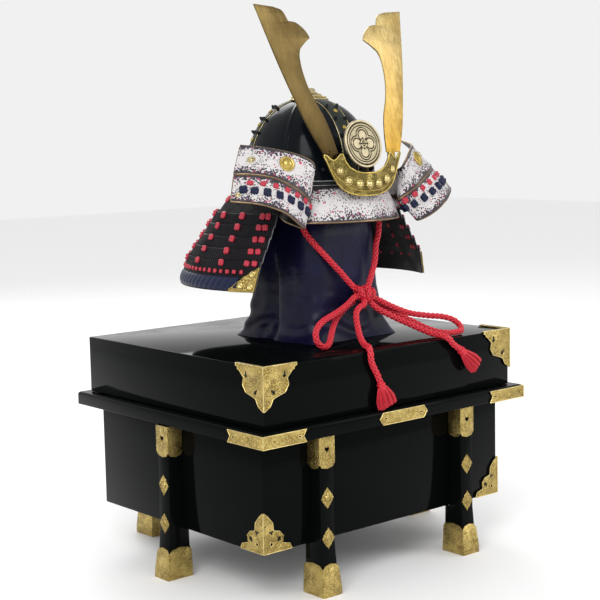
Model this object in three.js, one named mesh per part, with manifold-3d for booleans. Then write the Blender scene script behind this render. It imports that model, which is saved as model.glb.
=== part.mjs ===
// A kabuto helmet on a cloth-covered post, which stands on a lacquered chest with six legs.
// Millimetres, +Z up. The chest stands on z = 0, centred on the origin, and its front looks along -Y.
import * as THREE from "three";
import { mergeVertices } from "three/addons/utils/BufferGeometryUtils.js";
import Module from "manifold-3d";

const wasm = await Module();
wasm.setup();

// Gap between pieces that touch
const gap = 0.3;

// Chest
const wall = 9;
const lid = { halfX: 180, halfY: 158, low: 182, high: 245 };
const rim = { halfX: 191, halfY: 169, low: 167.1, high: 181.7, roundOver: 3 };
const body = { halfX: 173.5, halfY: 144.5, low: 53, high: 166.8 };
const brass = 1;

// Legs: columns are height, half width, front depth and back depth from the chest wall
const legSections = [
  { z: 1.3, half: 11.2, front: 24.2, back: -6 },
  { z: 8, half: 11.1, front: 24, back: -6 },
  { z: 30, half: 9.7, front: 21, back: -6 },
  { z: 52.4, half: 9.25, front: 19, back: -6 },
  { z: 52.4, half: 9.25, front: 19, back: gap },
  { z: 166.6, half: 9.25, front: 18, back: gap },
];
const legCap = { low: 138, high: 166.4, lobe: 5.4, heart: 3.4, heartZ: 153 };
const legShoe = { high: 28.6, lobe: 5.4, floor: 1 };
const legPlaces = [
  { name: "front_left", x: -104, y: -body.halfY, turn: 0 },
  { name: "front_right", x: 104, y: -body.halfY, turn: 0 },
  { name: "side_right", x: body.halfX, y: 0, turn: 90 },
  { name: "back_right", x: 104, y: body.halfY, turn: 180 },
  { name: "back_left", x: -104, y: body.halfY, turn: 180 },
  { name: "side_left", x: -body.halfX, y: 0, turn: -90 },
];

// Post and cloth: columns are height, half size, corner radius and centre
const post = { x: 9, y: -16.2, base: 50, column: 14, head: 19, top: 504.1 };
const clothWall = 2;
const clothSections = [
  { z: 245.3, half: 70, corner: 18, x: 12, y: -17 },
  { z: 265, half: 62, corner: 22, x: 12, y: -17 },
  { z: 300, half: 57, corner: 24, x: 12, y: -17 },
  { z: 360, half: 54.5, corner: 26, x: 12, y: -17 },
  { z: 400, half: 49, corner: 28, x: 12, y: -17 },
  { z: 450, half: 44, corner: 30, x: 11, y: -17 },
  { z: 480, half: 36, corner: 30, x: 9, y: -16.2 },
  { z: 496.5, half: 26, corner: 25, x: 9, y: -16.2 },
  { z: 504, half: 18, corner: 17.9, x: 9, y: -16.2 },
  { z: 506.3, half: 8, corner: 7.9, x: 9, y: -16.2 },
];

// Helmet, measured from its upright axis
const axis = { x: 9, y: -16.2 };
const roundness = { plan: 2.5, upright: 2.2 };
const bowl = { halfX: 66.5, halfY: 69, rim: 421, height: 89, wall: 2.4 };
const band = { halfX: 67.5, halfY: 70, low: 398, high: 420.7, wall: 2 };
const visor = { halfAngle: 52, top: 414, low: 377, radius: 99, wall: 2.2, bulge: 0.5 };
const plate = 2;

// Neck guard: rows from the waist down, as outer radius at the upper and the lower edge
const lames = [
  { high: 419, low: 399, upper: 69.9, lower: 86.5 },
  { high: 402, low: 384, upper: 86.6, lower: 103.4 },
  { high: 387, low: 372, upper: 104.9, lower: 110.5 },
  { high: 375, low: 360, upper: 112, lower: 117.4 },
  { high: 363, low: 348, upper: 118.9, lower: 125.2 },
  { high: 351, low: 336, upper: 126.5, lower: 132.5 },
  { high: 339, low: 307, upper: 134.3, lower: 141.5 },
];
const neck = { top: 419, round: 387, bottom: 307, shift: 13, gamma: 58, gammaLow: 63 };
const lameWall = 2;

// Turned-back wings of the right side: upper edge, tier line and lower edge, forward from the front
// ends of the two top rows of the neck guard, round the fold and back
const wingUpper = [
  { x: 68.5, y: -62, z: 427 },
  { x: 64, y: -82, z: 433 },
  { x: 69, y: -84.5, z: 441 },
  { x: 81, y: -77, z: 449 },
  { x: 102, y: -60, z: 456 },
  { x: 119, y: -26, z: 461 },
];
const wingTier = [
  { x: 78, y: -61, z: 398 },
  { x: 64.5, y: -74.5, z: 397 },
  { x: 80, y: -83.5, z: 408 },
  { x: 98, y: -82, z: 419 },
  { x: 114, y: -76, z: 427 },
  { x: 132, y: -61, z: 431.5 },
  { x: 145, y: -47, z: 432 },
];
const wingLower = [
  { x: 93, y: -68, z: 379 },
  { x: 83, y: -85, z: 372 },
  { x: 98, y: -94, z: 379 },
  { x: 118, y: -96, z: 392 },
  { x: 139, y: -84, z: 401 },
  { x: 162, y: -63, z: 405 },
];

// Crest holder: columns are distance from the middle, lower edge and upper edge
const holderEdges = [
  { x: 0, low: 404, high: 428 },
  { x: 8, low: 404.2, high: 428.2 },
  { x: 17, low: 405.2, high: 430 },
  { x: 26, low: 407.4, high: 434.5 },
  { x: 31, low: 409.6, high: 441 },
  { x: 34.5, low: 411.8, high: 448.6 },
  { x: 37, low: 413.8, high: 448.8 },
  { x: 41, low: 418, high: 444.6 },
  { x: 45, low: 424.5, high: 442 },
  { x: 49, low: 432.5, high: 444 },
  { x: 52.5, low: 440.5, high: 447.6 },
  { x: 55.5, low: 446.6, high: 448.6 },
];
const holder = { front: -96, curve: 350, pinX: 13, pinZ: 409, pinEnd: -83.8, pinRadius: 2.5 };
const medal = { radius: 26.3, y: -87, z: 459, lean: 13.5, half: 2, postHalf: 5 };
const medalPostSpan = { low: 412, high: 436 };
const horn = { y: -87, z: 447, lean: 0.3125 };
const tang = { in: 38, out: 48, low: 431, high: 453, y: -86.1 };

// Crown ornament: radius and height of its steps
const crownSteps = [
  [0, 510.4],
  [8, 510.2],
  [14, 509.4],
  [22, 507.5],
  [22.6, 508.6],
  [16, 513],
  [10.5, 516.8],
  [7.5, 517.6],
  [7.5, 519.6],
  [5.6, 521],
  [0, 521.4],
];

// Cord: routes chosen by hand, laid on the cloth and the lid
const cordRadius = 3.5;
const knot = { x: 21, y: -89, z: 294.5, halfX: 15, halfY: 11, halfZ: 11 };
const chinRoute = [
  [16, -88, 298],
  [9.5, -85, 303.1],
  [5, -82, 308.8],
  [-5.3, -79.5, 320.5],
  [-18.8, -78, 333.5],
  [-31.2, -75.5, 346.3],
  [-37.4, -69.5, 356],
  [-41.6, -63.5, 365.8],
  [-43.4, -59.5, 383],
  [-43.6, -55, 396],
  [-49.8, -38, 406],
  [-52.3, -16, 409],
  [-46, 19.8, 409],
  [-31, 37.8, 409],
  [-6, 46.8, 409],
  [24, 46.8, 409],
  [49, 37.8, 409],
  [64, 19.8, 409],
  [70.3, -16, 409],
  [67, -42, 406],
  [59, -60, 396],
  [61.4, -66.4, 384],
  [63.2, -69.5, 370.8],
  [58.7, -73.5, 358.8],
  [51.3, -77, 346.1],
  [48.4, -79, 335.2],
  [45, -80.5, 325.4],
  [39, -82, 313.8],
  [32.2, -85, 304.5],
  [26, -88, 298],
];
const leftLoopRoute = [
  [13, -90, 294],
  [5.5, -90, 292.3],
  [-7.7, -93, 286],
  [-23.2, -97, 280.9],
  [-41.6, -102, 276.7],
  [-56.1, -107, 273.8],
  [-68.3, -112, 268.6],
  [-74.4, -116, 262.3],
  [-74.8, -119, 254.8],
  [-69.5, -120.5, 249.6],
  [-61.5, -118.5, 248.8],
  [-53, -113.5, 251.4],
  [-44.5, -107, 258.3],
  [-33, -98, 266],
  [-18.5, -89, 273.2],
  [-2.2, -83, 280.4],
  [13, -82, 287.5],
];
const rightLoopRoute = [
  [28, -90, 291.5],
  [38.5, -91, 287.4],
  [54.5, -98, 278.3],
  [73.2, -107, 269.8],
  [90.4, -117, 266.2],
  [108, -126, 263.6],
  [118.4, -133, 259],
  [121.2, -139, 253],
  [116.5, -144.5, 249.2],
  [106.5, -147.5, 248.8],
  [95, -146.5, 248.8],
  [86.5, -138, 250],
  [79.5, -126, 254.2],
  [69.4, -108.5, 263.4],
  [56, -93, 273.8],
  [44.1, -84, 281.2],
  [31, -83.5, 288.5],
];
const leftTailRoute = [
  [18, -92, 290],
  [12.5, -98, 284.6],
  [1.7, -102.5, 283.2],
  [-6.5, -106, 278.4],
  [-10.4, -110, 270.8],
  [-13.8, -115.5, 263.6],
  [-20.7, -126, 256.2],
  [-28.2, -139.3, 250.6],
  [-34, -150, 249],
  [-38.4, -158.5, 249.3],
  [-40.6, -163, 244.8],
  [-39.6, -163, 236],
  [-36.4, -162.8, 229],
  [-31.3, -162.9, 220.3],
  [-27.7, -163, 212.6],
];
const rightTailRoute = [
  [25, -92, 287.5],
  [31, -98.5, 278.6],
  [42.5, -107, 270.6],
  [50, -116, 265],
  [57, -127, 259.6],
  [63.5, -137, 254.6],
  [69.5, -147.5, 250.4],
  [73.6, -157, 249.4],
  [77, -163, 246],
  [83.5, -163.2, 239.4],
  [92.5, -163.4, 233.5],
];
const tassels = [
  { name: "tassel_left", from: [-27.5, -163.4, 211.7], to: [-19.4, -166.4, 185.6], wide: 14, thick: 6 },
  { name: "tassel_right", from: [93, -163.4, 233.2], to: [118, -166.2, 211], wide: 11, thick: 6 },
];

// Brass on the chest: outlines of one half, as distance from the corner and depth from the edge
const lidCorner = [
  [42, 0],
  [29.5, 12.4],
  [31.4, 19.5],
  [26.8, 26.7],
  [16, 30],
  [11, 32],
  [7, 39],
  [0, 43.4],
];
const bodyCorner = [
  [36, 0],
  [33, 5.5],
  [24, 8],
  [25, 15],
  [20, 20.5],
  [12, 22.5],
  [11, 31],
  [5, 38],
  [0, 42],
];
const stripLength = 55;
const stripHeight = 12.8;
const centreHalf = 35;

const looks = {
  lacquer: new THREE.MeshStandardMaterial({ color: "#07080a", roughness: 0.12, metalness: 0 }),
  brass: new THREE.MeshStandardMaterial({ color: "#b08d45", roughness: 0.38, metalness: 1 }),
  gilt: new THREE.MeshStandardMaterial({ color: "#c79a3c", roughness: 0.3, metalness: 1 }),
  silver: new THREE.MeshStandardMaterial({ color: "#b9ac8c", roughness: 0.35, metalness: 1 }),
  steel: new THREE.MeshStandardMaterial({ color: "#0a1013", roughness: 0.15, metalness: 0.3 }),
  leather: new THREE.MeshStandardMaterial({ color: "#cfc6c4", roughness: 0.6, metalness: 0 }),
  satin: new THREE.MeshStandardMaterial({ color: "#14123a", roughness: 0.35, metalness: 0 }),
  silk: new THREE.MeshStandardMaterial({ color: "#c81f2d", roughness: 0.6, metalness: 0 }),
  wood: new THREE.MeshStandardMaterial({ color: "#8a6a45", roughness: 0.7, metalness: 0 }),
};
const root = new THREE.Group();
const helmet = new THREE.Group();
helmet.position.set(axis.x, axis.y, 0);
root.add(helmet);

function add(name, geometry, look, parent = root) {
  const mesh = new THREE.Mesh(geometry, look);
  mesh.name = name;
  parent.add(mesh);
  return mesh;
}

// Geometry with shared vertices, no collapsed triangles and its faces pointing out.
function tidied(geometry) {
  const bare = geometry.clone();
  bare.deleteAttribute("normal");
  bare.deleteAttribute("uv");
  const merged = mergeVertices(bare, 1e-3);
  const places = merged.attributes.position;
  const corners = [new THREE.Vector3(), new THREE.Vector3(), new THREE.Vector3()];
  const kept = [];
  let volume = 0;
  for (let i = 0; i < merged.index.count; i += 3) {
    const face = [0, 1, 2].map((k) => merged.index.getX(i + k));
    if (new Set(face).size < 3) continue;
    face.forEach((vertex, k) => corners[k].fromBufferAttribute(places, vertex));
    volume += corners[0].dot(corners[1].clone().cross(corners[2]));
    kept.push(face);
  }
  merged.setIndex(kept.flatMap((face) => (volume < 0 ? face.reverse() : face)));
  return merged;
}

function closed(points, faces) {
  const geometry = new THREE.BufferGeometry();
  const places = points.flatMap((p) => [p.x, p.y, p.z]);
  geometry.setAttribute("position", new THREE.Float32BufferAttribute(places, 3));
  geometry.setIndex(faces);
  return tidied(geometry);
}

function mirrored(geometry) {
  return tidied(geometry.clone().scale(-1, 1, 1));
}

function toSolid(geometry) {
  const ready = tidied(geometry);
  const mesh = new wasm.Mesh({
    numProp: 3,
    vertProperties: ready.attributes.position.array,
    triVerts: new Uint32Array(ready.index.array),
  });
  return new wasm.Manifold(mesh);
}

function fromSolid(solid) {
  const mesh = solid.getMesh();
  const geometry = new THREE.BufferGeometry();
  geometry.setAttribute("position", new THREE.BufferAttribute(mesh.vertProperties, mesh.numProp));
  geometry.setIndex(new THREE.BufferAttribute(mesh.triVerts, 1));
  return geometry;
}

function joined(first, ...others) {
  return fromSolid(others.reduce((sum, other) => sum.add(toSolid(other)), toSolid(first)));
}

function cut(first, ...others) {
  return fromSolid(others.reduce((rest, other) => rest.subtract(toSolid(other)), toSolid(first)));
}

function box(x0, x1, y0, y1, z0, z1) {
  const geometry = new THREE.BoxGeometry(x1 - x0, y1 - y0, z1 - z0);
  return geometry.translate((x0 + x1) / 2, (y0 + y1) / 2, (z0 + z1) / 2);
}

function slab(halfX, halfY, z0, z1) {
  return box(-halfX, halfX, -halfY, halfY, z0, z1);
}

// A sheet with thickness between two grids of points, one array for each row. Wrapping joins the
// last column to the first, and a row whose points coincide closes the sheet there.
function sheet(outer, inner, wrap = false) {
  const rows = outer.length;
  const columns = outer[0].length;
  const at = (side, row, column) => (side * rows + row) * columns + (column % columns);
  const faces = [];
  const quad = (a, b, c, d) => faces.push(a, b, c, a, c, d);
  const spans = wrap ? columns : columns - 1;
  const last = rows - 1;
  for (let c = 0; c < spans; c++) {
    for (let r = 0; r < last; r++) {
      quad(at(0, r, c), at(0, r, c + 1), at(0, r + 1, c + 1), at(0, r + 1, c));
      quad(at(1, r, c), at(1, r + 1, c), at(1, r + 1, c + 1), at(1, r, c + 1));
    }
    quad(at(0, 0, c + 1), at(0, 0, c), at(1, 0, c), at(1, 0, c + 1));
    quad(at(0, last, c), at(0, last, c + 1), at(1, last, c + 1), at(1, last, c));
  }
  for (let r = 0; !wrap && r < last; r++) {
    quad(at(0, r, 0), at(0, r + 1, 0), at(1, r + 1, 0), at(1, r, 0));
    quad(at(0, r + 1, spans), at(0, r, spans), at(1, r, spans), at(1, r + 1, spans));
  }
  return closed([...outer.flat(), ...inner.flat()], faces);
}

// A solid stacked from closed loops of points.
function stack(loops) {
  const middle = (loop) => {
    const sum = loop.reduce((total, p) => total.add(p), new THREE.Vector3());
    return sum.divideScalar(loop.length);
  };
  return sheet(
    loops,
    loops.map((loop) => loop.map(() => middle(loop))),
    true,
  );
}

function rectangleLoop(x0, x1, y0, y1, z) {
  const corner = (x, y) => new THREE.Vector3(x, y, z);
  return [corner(x0, y0), corner(x1, y0), corner(x1, y1), corner(x0, y1)];
}

function slabLoop(halfX, halfY, z) {
  return rectangleLoop(-halfX, halfX, -halfY, halfY, z);
}

// Rounded square, with the same number of points whatever its size.
function squareLoop(centre, half, radius, z, arcSteps = 4, sideSteps = 3) {
  const points = [];
  for (let quarter = 0; quarter < 4; quarter++) {
    const turn = (quarter * Math.PI) / 2;
    const put = (x, y) => {
      const p = new THREE.Vector2(x, y).rotateAround(new THREE.Vector2(), turn);
      points.push(new THREE.Vector3(centre.x + p.x, centre.y + p.y, z));
    };
    for (let i = 0; i < arcSteps; i++) {
      const angle = (i / arcSteps) * (Math.PI / 2);
      put(half - radius * (1 - Math.cos(angle)), half - radius * (1 - Math.sin(angle)));
    }
    for (let i = 0; i < sideSteps; i++) {
      put(half - radius - (i / sideSteps) * 2 * (half - radius), half);
    }
  }
  return points;
}

// Point on a rounded oval at an angle from the front, turning to the right.
function ovalPoint(angle, halfX, halfY, power, z, shift = 0) {
  const sx = Math.sin(angle);
  const sy = -Math.cos(angle);
  const size = (Math.abs(sx) / halfX) ** power + (Math.abs(sy) / halfY) ** power;
  const radius = size ** (-1 / power);
  return new THREE.Vector3(sx * radius, sy * radius + shift, z);
}

function ovalLoop(halfX, halfY, power, z, steps = 40) {
  const loop = [];
  for (let i = 0; i < steps; i++) {
    loop.push(ovalPoint((i / steps) * 2 * Math.PI, halfX, halfY, power, z));
  }
  return loop;
}

function smoothRow(table, steps) {
  const curve = new THREE.CatmullRomCurve3(
    table.map((row) => new THREE.Vector3(row.x, row.y, row.z)),
    false,
    "centripetal",
  );
  return curve.getSpacedPoints(steps);
}

// The grid moved to one side by a thickness, along each point's own normal.
function offsetGrid(grid, thickness) {
  const rows = grid.length - 1;
  return grid.map((row, r) =>
    row.map((p, c) => {
      const alongRow = row[Math.min(c + 1, row.length - 1)].clone().sub(row[Math.max(c - 1, 0)]);
      const across = grid[Math.min(r + 1, rows)][c].clone().sub(grid[Math.max(r - 1, 0)][c]);
      return p.clone().addScaledVector(alongRow.cross(across).normalize(), thickness);
    }),
  );
}

function tube(route, radius, sides, steps) {
  const section = new THREE.Shape();
  for (let i = 0; i < sides; i++) {
    const angle = (i / sides) * 2 * Math.PI;
    const x = radius * Math.cos(angle);
    const y = radius * Math.sin(angle);
    i ? section.lineTo(x, y) : section.moveTo(x, y);
  }
  const points = route.map((p) => new THREE.Vector3(...p));
  const extrudePath = new THREE.CatmullRomCurve3(points, false, "centripetal");
  return tidied(new THREE.ExtrudeGeometry(section, { steps, extrudePath }));
}

// A shape whose outline runs counterclockwise, as its holes need.
function outlineShape(points) {
  const outline = points.map(([x, y]) => new THREE.Vector2(x, y));
  return new THREE.Shape(THREE.ShapeUtils.isClockWise(outline) ? outline.reverse() : outline);
}

function roundHole(x, y, radius, sides = 10) {
  const hole = new THREE.Path();
  hole.absarc(x, y, radius, 0, 2 * Math.PI);
  return new THREE.Path(hole.getPoints(sides));
}

function slotHole(x, y, halfLength, halfWidth, degrees) {
  const corners = [
    [-halfLength, 0],
    [-halfLength * 0.5, halfWidth],
    [halfLength * 0.5, halfWidth],
    [halfLength, 0],
    [halfLength * 0.5, -halfWidth],
    [-halfLength * 0.5, -halfWidth],
  ];
  const turn = THREE.MathUtils.degToRad(degrees);
  const centre = new THREE.Vector2();
  return new THREE.Path(
    corners.map(([u, v]) =>
      new THREE.Vector2(u, v).rotateAround(centre, turn).add(new THREE.Vector2(x, y)),
    ),
  );
}

// A flat plate from a shape drawn across and up, facing -Y with its back at y = 0.
function uprightPlate(shape, thickness) {
  const form = { depth: thickness, bevelEnabled: false, curveSegments: 4 };
  const geometry = new THREE.ExtrudeGeometry(shape, form);
  return geometry.rotateX(Math.PI / 2);
}

// The same half outline on both faces of a right-hand corner, whose edge stands at x = 0, y = 0.
function cornerPlates(halfOutline, holes, thickness) {
  const overlap = gap + thickness;
  const along = halfOutline.map(([s, z]) => [-s, z]);
  const first = halfOutline[0][1];
  const lastHeight = halfOutline[halfOutline.length - 1][1];
  const shape = outlineShape([...along, [overlap, lastHeight], [overlap, first]]);
  shape.holes = holes.map((hole) => new THREE.Path(hole.getPoints().map((p) => p.clone())));
  const frontPlate = uprightPlate(shape, thickness).translate(0, -gap, 0);
  const sidePlate = frontPlate.clone().scale(-1, 1, 1).rotateZ(Math.PI / 2);
  return joined(frontPlate, tidied(sidePlate));
}

// Chest
add(
  "chest_body",
  cut(
    slab(body.halfX, body.halfY, body.low, body.high),
    slab(body.halfX - wall, body.halfY - wall, body.low + wall, body.high + 1),
  ),
  looks.lacquer,
);
const roundOverSteps = [0, 30, 60, 90].map((degrees) => THREE.MathUtils.degToRad(degrees));
const rimLoops = [
  slabLoop(rim.halfX, rim.halfY, rim.low),
  ...roundOverSteps.map((angle) => {
    const inset = rim.roundOver * (1 - Math.cos(angle));
    const z = rim.high - rim.roundOver * (1 - Math.sin(angle));
    return slabLoop(rim.halfX - inset, rim.halfY - inset, z);
  }),
];
add(
  "chest_rim",
  cut(
    stack(rimLoops),
    slab(body.halfX - wall, body.halfY - wall, rim.low - 1, rim.high + 1),
  ),
  looks.lacquer,
);
add(
  "chest_lid",
  cut(
    slab(lid.halfX, lid.halfY, lid.low, lid.high),
    slab(lid.halfX - wall, lid.halfY - wall, lid.low - 1, lid.high - wall),
  ),
  looks.lacquer,
);

// Legs, drawn with the chest wall at y = 0 and the outer face towards -Y
function legLoop({ z, half, front, back }) {
  return rectangleLoop(-half, half, -front, -back, z);
}

function legSectionAt(z) {
  const above = legSections.findIndex((row, i) => i > 0 && row.z >= z);
  const low = legSections[above - 1];
  const high = legSections[above];
  const share = (z - low.z) / (high.z - low.z);
  const mix = (key) => THREE.MathUtils.lerp(low[key], high[key], share);
  return { z, half: mix("half"), front: mix("front"), back: mix("back") };
}

// Rise of a lobed edge across one face, from -1 at one corner to 1 at the other.
function lobe(share, height) {
  return height * Math.sqrt(Math.max(0, 1 - share * share));
}

function faceSteps(count) {
  return Array.from({ length: count + 1 }, (_, i) => -Math.cos((i / count) * Math.PI));
}

const heartDepth = 6;

// Heart-shaped hole for the outer face of a cap.
function heart(size, z) {
  const shape = new THREE.Shape();
  shape.moveTo(0, z - size);
  shape.bezierCurveTo(size * 1.5, z, size, z + size * 1.3, 0, z + size * 0.4);
  shape.bezierCurveTo(-size, z + size * 1.3, -size * 1.5, z, 0, z - size);
  return uprightPlate(shape, heartDepth);
}

function capGeometry() {
  const top = legSectionAt(legCap.high);
  const path = [];
  const sides = [
    { from: [-1, 0], to: [-1, 1] },
    { from: [-1, 1], to: [1, 1] },
    { from: [1, 1], to: [1, 0] },
  ];
  sides.forEach(({ from, to }) => {
    faceSteps(4).forEach((share) => {
      const mix = (share + 1) / 2;
      const across = THREE.MathUtils.lerp(from[0], to[0], mix);
      const out = THREE.MathUtils.lerp(from[1], to[1], mix);
      path.push({ across, out, low: legCap.low - lobe(share, legCap.lobe) });
    });
  });
  const grid = (clearance) => {
    const point = ({ across, out }, z) => {
      const depth = THREE.MathUtils.lerp(gap, top.front + clearance + gap, out);
      return new THREE.Vector3(across * (top.half + clearance), -depth, z);
    };
    return [path.map((p) => point(p, p.low)), path.map((p) => point(p, legCap.high))];
  };
  const plain = sheet(grid(gap + brass), grid(gap));
  const hole = heart(legCap.heart, legCap.heartZ).translate(0, -top.front + 2, 0);
  return cut(plain, hole);
}

function shoeGeometry() {
  const sides = [
    [-1, -1, 1, -1],
    [1, -1, 1, 1],
    [1, 1, -1, 1],
    [-1, 1, -1, -1],
  ];
  const path = sides.flatMap(([x0, y0, x1, y1]) =>
    faceSteps(4)
      .slice(0, -1)
      .map((share) => {
        const mix = (share + 1) / 2;
        const x = THREE.MathUtils.lerp(x0, x1, mix);
        const y = THREE.MathUtils.lerp(y0, y1, mix);
        return { x, y, high: legShoe.high + lobe(share, legShoe.lobe) };
      }),
  );
  const point = (p, z, clearance) => {
    const section = legSectionAt(Math.max(z, legSections[0].z));
    const half = section.half + clearance;
    const middle = -(section.front + section.back) / 2;
    const reach = (section.front - section.back) / 2 + clearance;
    return new THREE.Vector3(p.x * half, middle + p.y * reach, z);
  };
  const grid = (floor, clearance) => {
    const section = legSections[0];
    const centre = new THREE.Vector3(0, -(section.front + section.back) / 2, floor);
    const bottom = path.map((p) => point(p, floor, clearance));
    const knee = path.map((p) => point(p, legSections[1].z, clearance));
    return [path.map(() => centre), bottom, knee, path.map((p) => point(p, p.high, clearance))];
  };
  return sheet(grid(0, gap + brass), grid(legShoe.floor, gap), true);
}

const legGeometry = stack(legSections.map(legLoop));
const capPlate = capGeometry();
const shoeCup = shoeGeometry();
legPlaces.forEach(({ name, x, y, turn }) => {
  const place = new THREE.Group();
  place.position.set(x, y, 0);
  place.rotation.z = THREE.MathUtils.degToRad(turn);
  root.add(place);
  add("leg_" + name, legGeometry, looks.lacquer, place);
  add("leg_cap_" + name, capPlate, looks.brass, place);
  add("leg_shoe_" + name, shoeCup, looks.brass, place);
});

// Brass on the chest
const lidHoles = [slotHole(-26, -9, 4, 1.1, 90), slotHole(-11, -25, 4, 1.1, 45)];
const lidPlates = cornerPlates(
  lidCorner.map(([s, depth]) => [s, -depth]),
  lidHoles,
  brass,
);
const lipReach = 42;
const lipWidth = 3;
const lipOut = gap + brass;
const lip = outlineShape([
  [-lipReach, -lipWidth],
  [-lipWidth, -lipWidth],
  [-lipWidth, -lipReach],
  [lipOut, -lipReach],
  [lipOut, lipOut],
  [-lipReach, lipOut],
]);
const lipPlate = new THREE.ExtrudeGeometry(lip, { depth: brass, bevelEnabled: false });
lipPlate.scale(1, -1, 1).translate(0, 0, gap);
const riser = 1.5;
const lidBracket = joined(
  lidPlates,
  box(-lipReach, lipOut, -lipOut, -gap, -riser, lipOut),
  box(gap, lipOut, -lipOut, lipReach, -riser, lipOut),
  tidied(lipPlate),
);
const bodyBracket = cornerPlates(
  bodyCorner,
  [roundHole(-9, 9, 2), slotHole(-19, 13, 3.4, 1.2, -35)],
  brass,
);
const stripEnd = [
  [stripLength, -stripHeight],
  [stripLength - 4, -stripHeight / 2],
  [stripLength, 0],
];
const stripBracket = cornerPlates(
  stripEnd,
  [slotHole(-stripLength + 9, -stripHeight / 2, 2.4, 1.2, 0)],
  brass,
);
[1, -1].forEach((side) => {
  const hand = side > 0 ? "right" : "left";
  const handed = (geometry) => (side > 0 ? geometry : mirrored(geometry));
  const lidPiece = add("lid_corner_" + hand, handed(lidBracket), looks.brass);
  lidPiece.position.set(side * lid.halfX, -lid.halfY, lid.high);
  const stripPiece = add("rim_strip_" + hand, handed(stripBracket), looks.brass);
  stripPiece.position.set(side * rim.halfX, -rim.halfY, rim.high - rim.roundOver + 1.2);
  const bodyPiece = add("body_corner_" + hand, handed(bodyBracket), looks.brass);
  bodyPiece.position.set(side * body.halfX, -body.halfY, body.low + 0.4);
});
const centreShape = outlineShape([
  [-centreHalf, stripHeight / 2],
  [-centreHalf + 3, stripHeight * 0.8],
  [-centreHalf + 5, stripHeight],
  [centreHalf - 5, stripHeight],
  [centreHalf - 3, stripHeight * 0.8],
  [centreHalf, stripHeight / 2],
  [centreHalf - 3, stripHeight * 0.2],
  [centreHalf - 5, 0],
  [-centreHalf + 5, 0],
  [-centreHalf + 3, stripHeight * 0.2],
]);
centreShape.holes = [slotHole(-centreHalf + 9, stripHeight / 2, 2.4, 1.2, 0)];
centreShape.holes.push(slotHole(centreHalf - 9, stripHeight / 2, 2.4, 1.2, 0));
const centrePiece = add("centre_plate", uprightPlate(centreShape, brass), looks.brass);
centrePiece.position.set(0, -rim.halfY - gap, rim.low + 0.2);

// Post and cloth
const postProfile = [
  [0, lid.high + gap],
  [post.base, lid.high + gap],
  [post.base, lid.high + 8],
  [post.base - 3, lid.high + 10],
  [post.column, lid.high + 12],
  [post.column, post.top - 17],
  [post.head, post.top - 13],
  [post.head, post.top - 8],
  [post.head - 4, post.top - 4],
  [post.head - 11, post.top - 1],
  [0, post.top],
].map(([r, z]) => new THREE.Vector2(r, z));
const postGeometry = new THREE.LatheGeometry(postProfile, 24).rotateX(Math.PI / 2);
add("stand_post", tidied(postGeometry), looks.wood).position.set(post.x, post.y, 0);

function clothGrid(inset, lift) {
  const rows = clothSections.map((row, i) => {
    const half = row.half - inset;
    const corner = Math.min(row.corner, half - 0.1);
    return squareLoop(row, half, corner, row.z + (i ? lift : 0));
  });
  const top = rows[rows.length - 1];
  const crown = new THREE.Vector3(axis.x, axis.y, top[0].z + 0.2);
  return [...rows, top.map(() => crown)];
}
add("stand_cloth", sheet(clothGrid(0, 0), clothGrid(clothWall, -clothWall), true), looks.satin);

// Bowl and its band
function domeGrid(halfX, halfY, height, rows = 10) {
  const grid = [];
  for (let i = 0; i <= rows; i++) {
    const angle = (i / rows) * (Math.PI / 2);
    const share = Math.max(Math.cos(angle), 1e-9) ** (2 / roundness.upright);
    const z = bowl.rim + height * Math.sin(angle) ** (2 / roundness.upright);
    grid.push(ovalLoop(halfX * share, halfY * share, roundness.plan, z));
  }
  const crown = new THREE.Vector3(0, 0, bowl.rim + height);
  grid[rows] = grid[rows].map(() => crown);
  return grid;
}
const { halfX, halfY, height } = bowl;
const bowlInside = domeGrid(halfX - bowl.wall, halfY - bowl.wall, height - bowl.wall);
add("bowl", sheet(domeGrid(halfX, halfY, height), bowlInside, true), looks.steel, helmet);

function bandLoops(inset) {
  const loop = (z) => ovalLoop(band.halfX - inset, band.halfY - inset, roundness.plan, z);
  return [loop(band.low), loop(band.high)];
}
add("waist_band", sheet(bandLoops(0), bandLoops(band.wall), true), looks.steel, helmet);

const crownProfile = crownSteps.map(([r, z]) => new THREE.Vector2(r, z));
const crownGeometry = new THREE.LatheGeometry(crownProfile, 20).rotateX(Math.PI / 2);
add("crown_ornament", tidied(crownGeometry), looks.gilt, helmet);

// Visor
function visorGrid(inset, columns = 22, rows = 4) {
  const grid = [];
  for (let r = 0; r <= rows; r++) {
    const share = r / rows;
    const z = THREE.MathUtils.lerp(visor.top, visor.low, share);
    const row = [];
    for (let c = 0; c <= columns; c++) {
      const degrees = THREE.MathUtils.lerp(-visor.halfAngle, visor.halfAngle, c / columns);
      const angle = THREE.MathUtils.degToRad(degrees);
      const near = ovalPoint(angle, band.halfX, band.halfY, roundness.plan, z);
      const clear = gap + visor.wall + 0.2;
      const start = near.clone().multiplyScalar(1 + clear / Math.hypot(near.x, near.y));
      const end = new THREE.Vector3(Math.sin(angle), -Math.cos(angle), 0).multiplyScalar(visor.radius);
      const out = start.lerp(end, share ** visor.bulge);
      const size = Math.hypot(out.x, out.y);
      row.push(new THREE.Vector3(out.x * (1 - inset / size), out.y * (1 - inset / size), z));
    }
    grid.push(row);
  }
  return grid;
}
add("visor", sheet(visorGrid(0), visorGrid(visor.wall)), looks.leather, helmet);

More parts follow.
